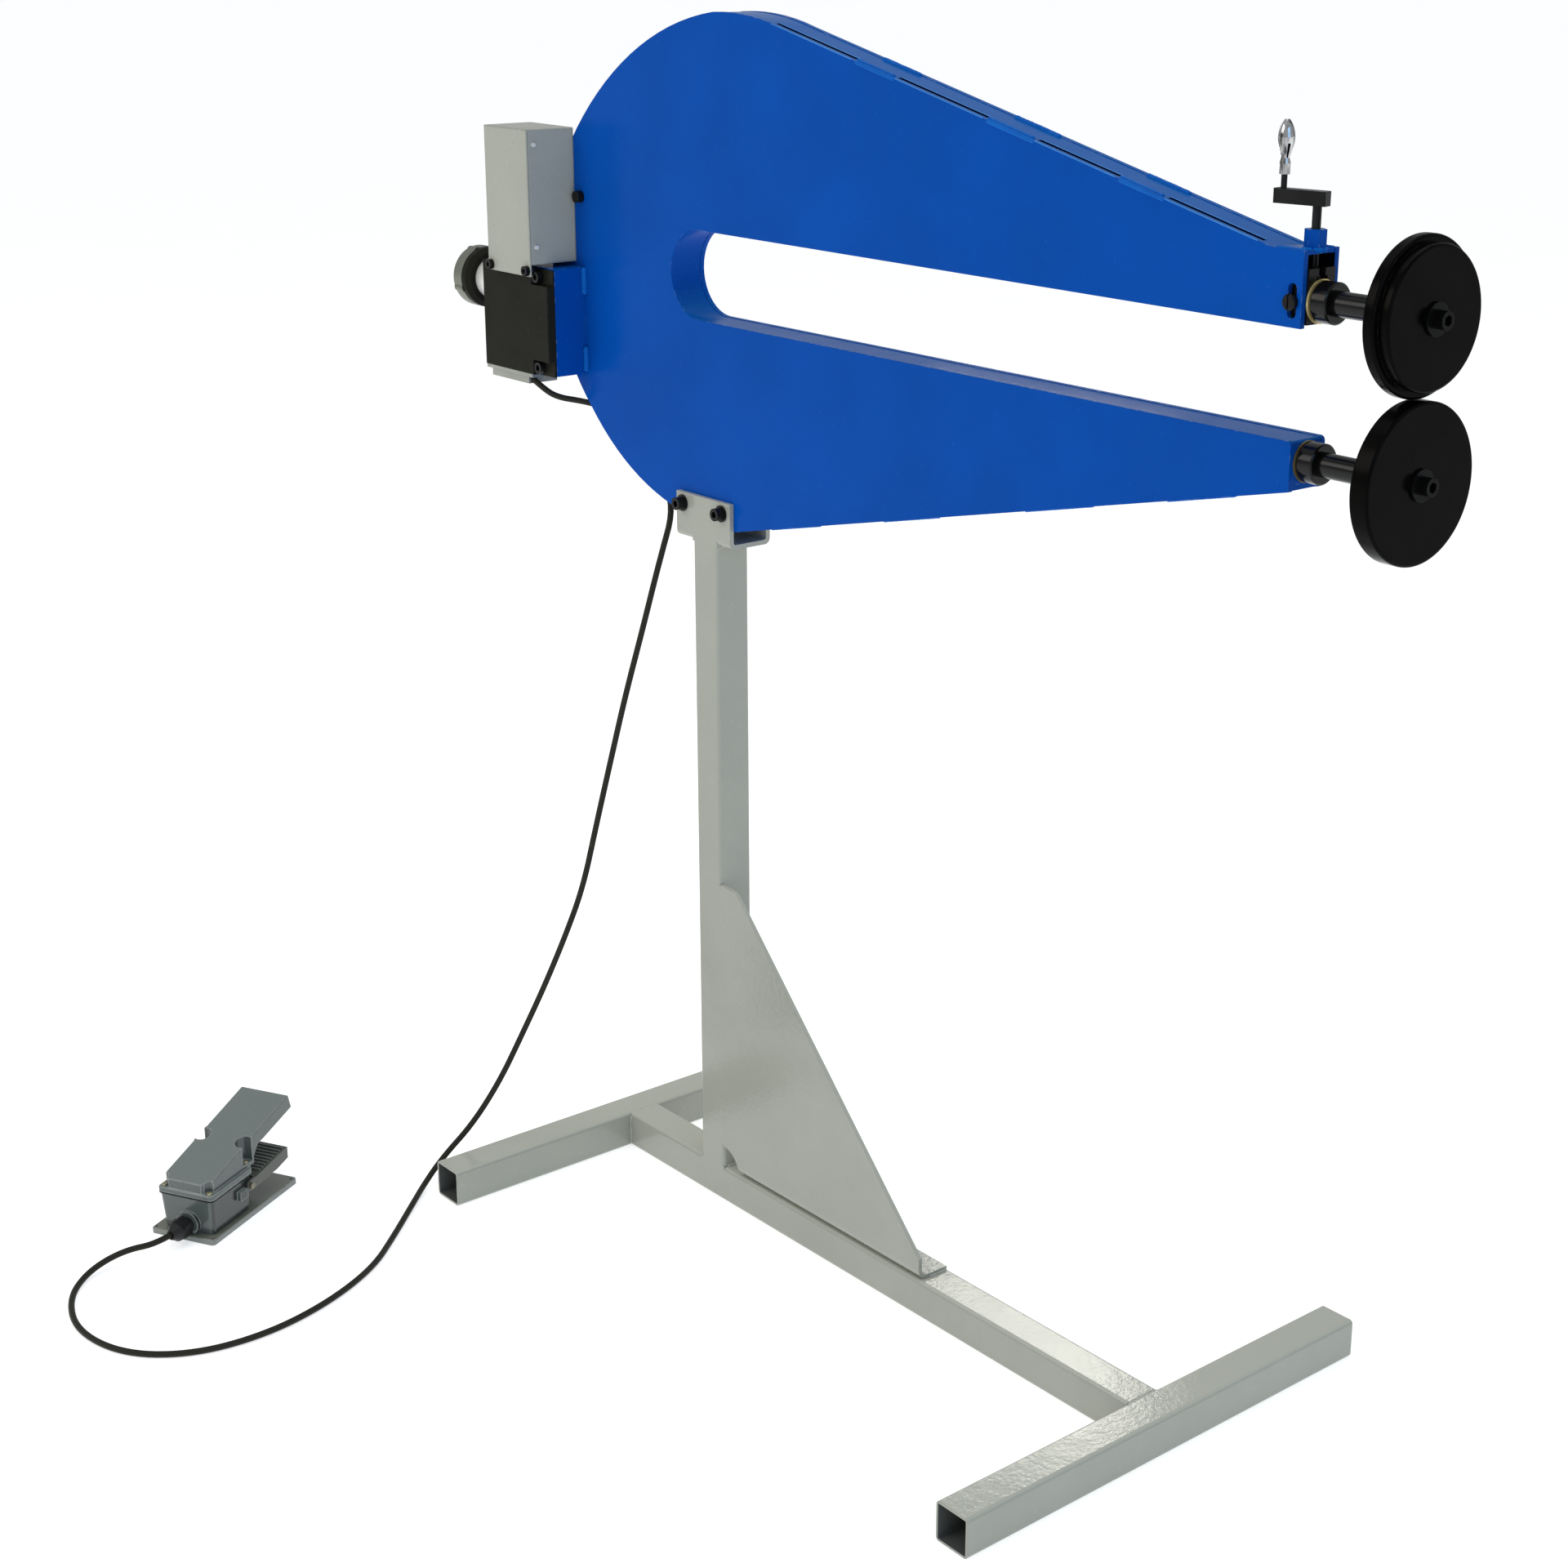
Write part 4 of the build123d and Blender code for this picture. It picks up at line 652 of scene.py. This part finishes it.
def add_stand_welds():
    beads = bmesh.new()
    ground = bmesh.new()
    weld_spine(beads)
    weld_column_foot(beads, ground)
    weld_gusset(beads, ground)
    weld_saddle(beads, ground)
    add_piece("stand_welds", solid_mesh("stand_welds", beads), slot_finish["grey_paint"])
    add_piece("ground_welds", solid_mesh("ground_welds", ground), filler_grey)


# Welds of the head: its edges run straight between points (x, z), and each weld is a run of x
PLATE_NEAR = corners("frame_near_plate")[0].y
STRIP_NEAR, STRIP_FAR = (corner.y for corner in corners("frame_top_strip"))
BRACKET_EDGE = corners("drive_bracket")[1]
NUT_LOW, NUT_HIGH = corners("crank_nut")
TOP_BACK = (150.0, 1541.5)
TOP_NOSE = (897.0, 1372.0)
LOW_BACK = (45.0, 933.0)
LOW_NOSE = (936.0, 1139.0)
TOP_WELDS = [(276, 341), (491, 563), (688, 750)]
TOP_BEAD_R = 3.6
TOP_BEAD_SINK = 1.2
PLATE_BEAD_R = 2.4
PLATE_BEAD_SINK = 1.6
PLATE_BEAD_INSET = 0.6
PLATE_BEAD_SHIFT = (4, 6)
NOSE_WELD = (898, 938)
NOSE_BEAD_R = 2.4
NOSE_BEAD_SINK = 1.0
LOW_WELDS = [(120, 215), (328, 426), (563, 668), (771, 865)]
LOW_BEAD_R = 2.6
LOW_BEAD_RISE = 1.0
BRACKET_WELDS = [(1092, 1126), (1192, 1228)]
BRACKET_BEAD_R = 4.4
BRACKET_BEAD_AHEAD = 2.2
BRACKET_BEAD_PROUD = 1.8
NUT_SIDES = 6
NUT_CORNER_R = 11.0
NUT_BEAD_R = 2.8
NUT_BEAD_SINK = 0.8


def edge_z(x, back, nose):
    """Height at x of a straight edge."""
    return back[1] + (x - back[0]) * (nose[1] - back[1]) / (nose[0] - back[0])


def top_z(x):
    """The upper edge, which is level along the nose."""
    return edge_z(min(x, TOP_NOSE[0]), TOP_BACK, TOP_NOSE)


def low_z(x):
    return edge_z(x, LOW_BACK, LOW_NOSE)


def edge_run(run, y, height, rise):
    """The two ends of a run along an edge, raised above it."""
    return [(x, y, height(x) + rise) for x in run]


def weld_nut(bm):
    """A bead along each side of the nut's foot."""
    middle = (NUT_LOW + NUT_HIGH) / 2
    middle.z = NUT_LOW.z - NUT_BEAD_SINK
    turns = [2 * math.pi * k / NUT_SIDES for k in range(NUT_SIDES + 1)]
    places = [middle + NUT_CORNER_R * Vector((math.cos(t), math.sin(t), 0.0)) for t in turns]
    for start, end in zip(places, places[1:]):
        bead(bm, start, end, NUT_BEAD_R)


def add_head_welds():
    bm = bmesh.new()
    for y in (STRIP_NEAR, STRIP_FAR):
        for run in TOP_WELDS:
            bead(bm, *edge_run(run, y, top_z, -TOP_BEAD_SINK), TOP_BEAD_R)
            if y == STRIP_NEAR:
                shifted = [x + shift for x, shift in zip(run, PLATE_BEAD_SHIFT)]
                ends = edge_run(shifted, PLATE_NEAR + PLATE_BEAD_INSET, top_z, -PLATE_BEAD_SINK)
                bead(bm, *ends, PLATE_BEAD_R)
        bead(bm, *edge_run(NOSE_WELD, y, top_z, -NOSE_BEAD_SINK), NOSE_BEAD_R)
        for run in LOW_WELDS:
            bead(bm, *edge_run(run, y, low_z, LOW_BEAD_RISE), LOW_BEAD_R)
    x = BRACKET_EDGE.x + BRACKET_BEAD_AHEAD
    y = BRACKET_EDGE.y - BRACKET_BEAD_PROUD
    for bottom, top in BRACKET_WELDS:
        bead(bm, (x, y, bottom), (x, y, top), BRACKET_BEAD_R)
    weld_nut(bm)
    add_piece("head_welds", solid_mesh("head_welds", bm), lit_bead_blue)


# Painted shade in the slits and painted highlights along the edges beside the top strip, between its welds
SLITS = [(131, 272), (345, 488), (567, 684), (754, 880)]
SLIT_WIDTH = 6.6
SLIT_THICK = 0.75
SLIT_OVERLAP = 0.2
GLINTS = [(131, 274), (343, 489), (565, 686), (752, 880)]
GLINT_THICK = 0.8
STRIP_GLINT_IN = 6.4
STRIP_GLINT_WIDTH = 2.0
PLATE_GLINT_OUT = 0.1
PLATE_GLINT_WIDTH = 1.3
SEAM_SINK = 0.9
PLATE_GLINT_SINK = 0.7


def ribbon(bm, start, end, width, thick):
    """A thin flat strip that lies along a seam, its width across Y."""
    across = Vector((0, width, 0))
    a = Vector(start)
    b = Vector(end)
    prism(bm, [a, b, b + across, a + across], (0, 0, thick))


def add_seams():
    slits = bmesh.new()
    for run in SLITS:
        ribbon(slits, *edge_run(run, STRIP_NEAR - SLIT_OVERLAP, top_z, -SEAM_SINK), SLIT_WIDTH, SLIT_THICK)
    add_piece("strip_seams", solid_mesh("strip_seams", slits), seam_dark)
    glints = bmesh.new()
    for run in GLINTS:
        ends = edge_run(run, STRIP_NEAR + STRIP_GLINT_IN, top_z, -SEAM_SINK)
        ribbon(glints, *ends, STRIP_GLINT_WIDTH, GLINT_THICK)
        ends = edge_run(run, PLATE_NEAR - PLATE_GLINT_OUT, top_z, -PLATE_GLINT_SINK)
        ribbon(glints, *ends, PLATE_GLINT_WIDTH, GLINT_THICK)
    add_piece("edge_glints", solid_mesh("edge_glints", glints), glint_blue)


# Stage
FLOOR_HALF = 60.0
FLOOR_TONE = (0.86, 0.86, 0.86)
FLOOR_PALE = (0.90, 0.90, 0.90)
FLOOR_ROUGH = 0.85
FLOOR_GLOSS = 0.1
FLOOR_GLOW = 0.56
WHITE = (1.0, 1.0, 1.0, 1.0)
SKY = (0.94, 0.97, 1.0, 1.0)
SKY_STRENGTH = 0.5
MIDDLE_OF_PART = (0.2, -0.1, 0.8)


def add_floor():
    mesh = bpy.data.meshes.new("floor")
    ends = (-FLOOR_HALF, FLOOR_HALF)
    mesh.from_pydata([(x, y, 0) for y in ends for x in ends], [], [(0, 1, 3, 2)])
    floor = bpy.data.objects.new("floor", mesh)
    bpy.context.scene.collection.objects.link(floor)
    s = Shader("pale_floor")
    s.link(s.mix(s.noise(*FLOOR_CLOUDS), FLOOR_TONE, FLOOR_PALE), s.bsdf.inputs["Base Color"])
    s.bsdf.inputs["Roughness"].default_value = FLOOR_ROUGH
    s.bsdf.inputs["Specular IOR Level"].default_value = FLOOR_GLOSS
    s.bsdf.inputs["Emission Color"].default_value = WHITE
    s.bsdf.inputs["Emission Strength"].default_value = FLOOR_GLOW
    mesh.materials.append(s.mat)


def add_sky():
    world = bpy.data.worlds.new("studio")
    world.use_nodes = True
    back = world.node_tree.nodes["Background"]
    back.inputs["Color"].default_value = SKY
    back.inputs["Strength"].default_value = SKY_STRENGTH
    bpy.context.scene.world = world


def add_lamp(name, place, aim, size, power, colour):
    data = bpy.data.lights.new(name, "AREA")
    data.shape = "RECTANGLE"
    data.size, data.size_y = size
    data.energy = power
    data.color = colour
    lamp = bpy.data.objects.new(name, data)
    bpy.context.scene.collection.objects.link(lamp)
    lamp.location = place
    lamp.rotation_euler = (Vector(aim) - Vector(place)).to_track_quat("-Z", "Y").to_euler()


def add_lamps():
    add_lamp(
        "key", place=(-1.4, -4.2, 3.6), aim=MIDDLE_OF_PART, size=(3.2, 2.4), power=68.0,
        colour=(1.0, 0.95, 0.87),
    )
    add_lamp(
        "fill", place=(4.6, -1.0, 2.6), aim=MIDDLE_OF_PART, size=(2.6, 2.6), power=32.0,
        colour=(0.30, 0.60, 1.0),
    )
    add_lamp(
        "top", place=(0.3, 0.3, 5.2), aim=MIDDLE_OF_PART, size=(4.0, 4.0), power=60.0,
        colour=(1.0, 1.0, 0.97),
    )
    add_lamp(
        "glare", place=(-0.66, 1.24, 1.12), aim=(0.66, -0.04, 0.05), size=(0.42, 0.36), power=2.7,
        colour=(1.0, 0.97, 0.90),
    )
    add_lamp(
        "front_glare", place=(-0.46, 1.21, 1.20), aim=(0.78, -0.09, 0.05), size=(0.20, 0.20), power=0.45,
        colour=(1.0, 0.96, 0.86),
    )


add_camera()
dress_nodes()
add_cable()
add_stand_welds()
add_head_welds()
add_seams()
add_floor()
add_sky()
add_lamps()
bpy.context.scene.view_settings.view_transform = "Standard"
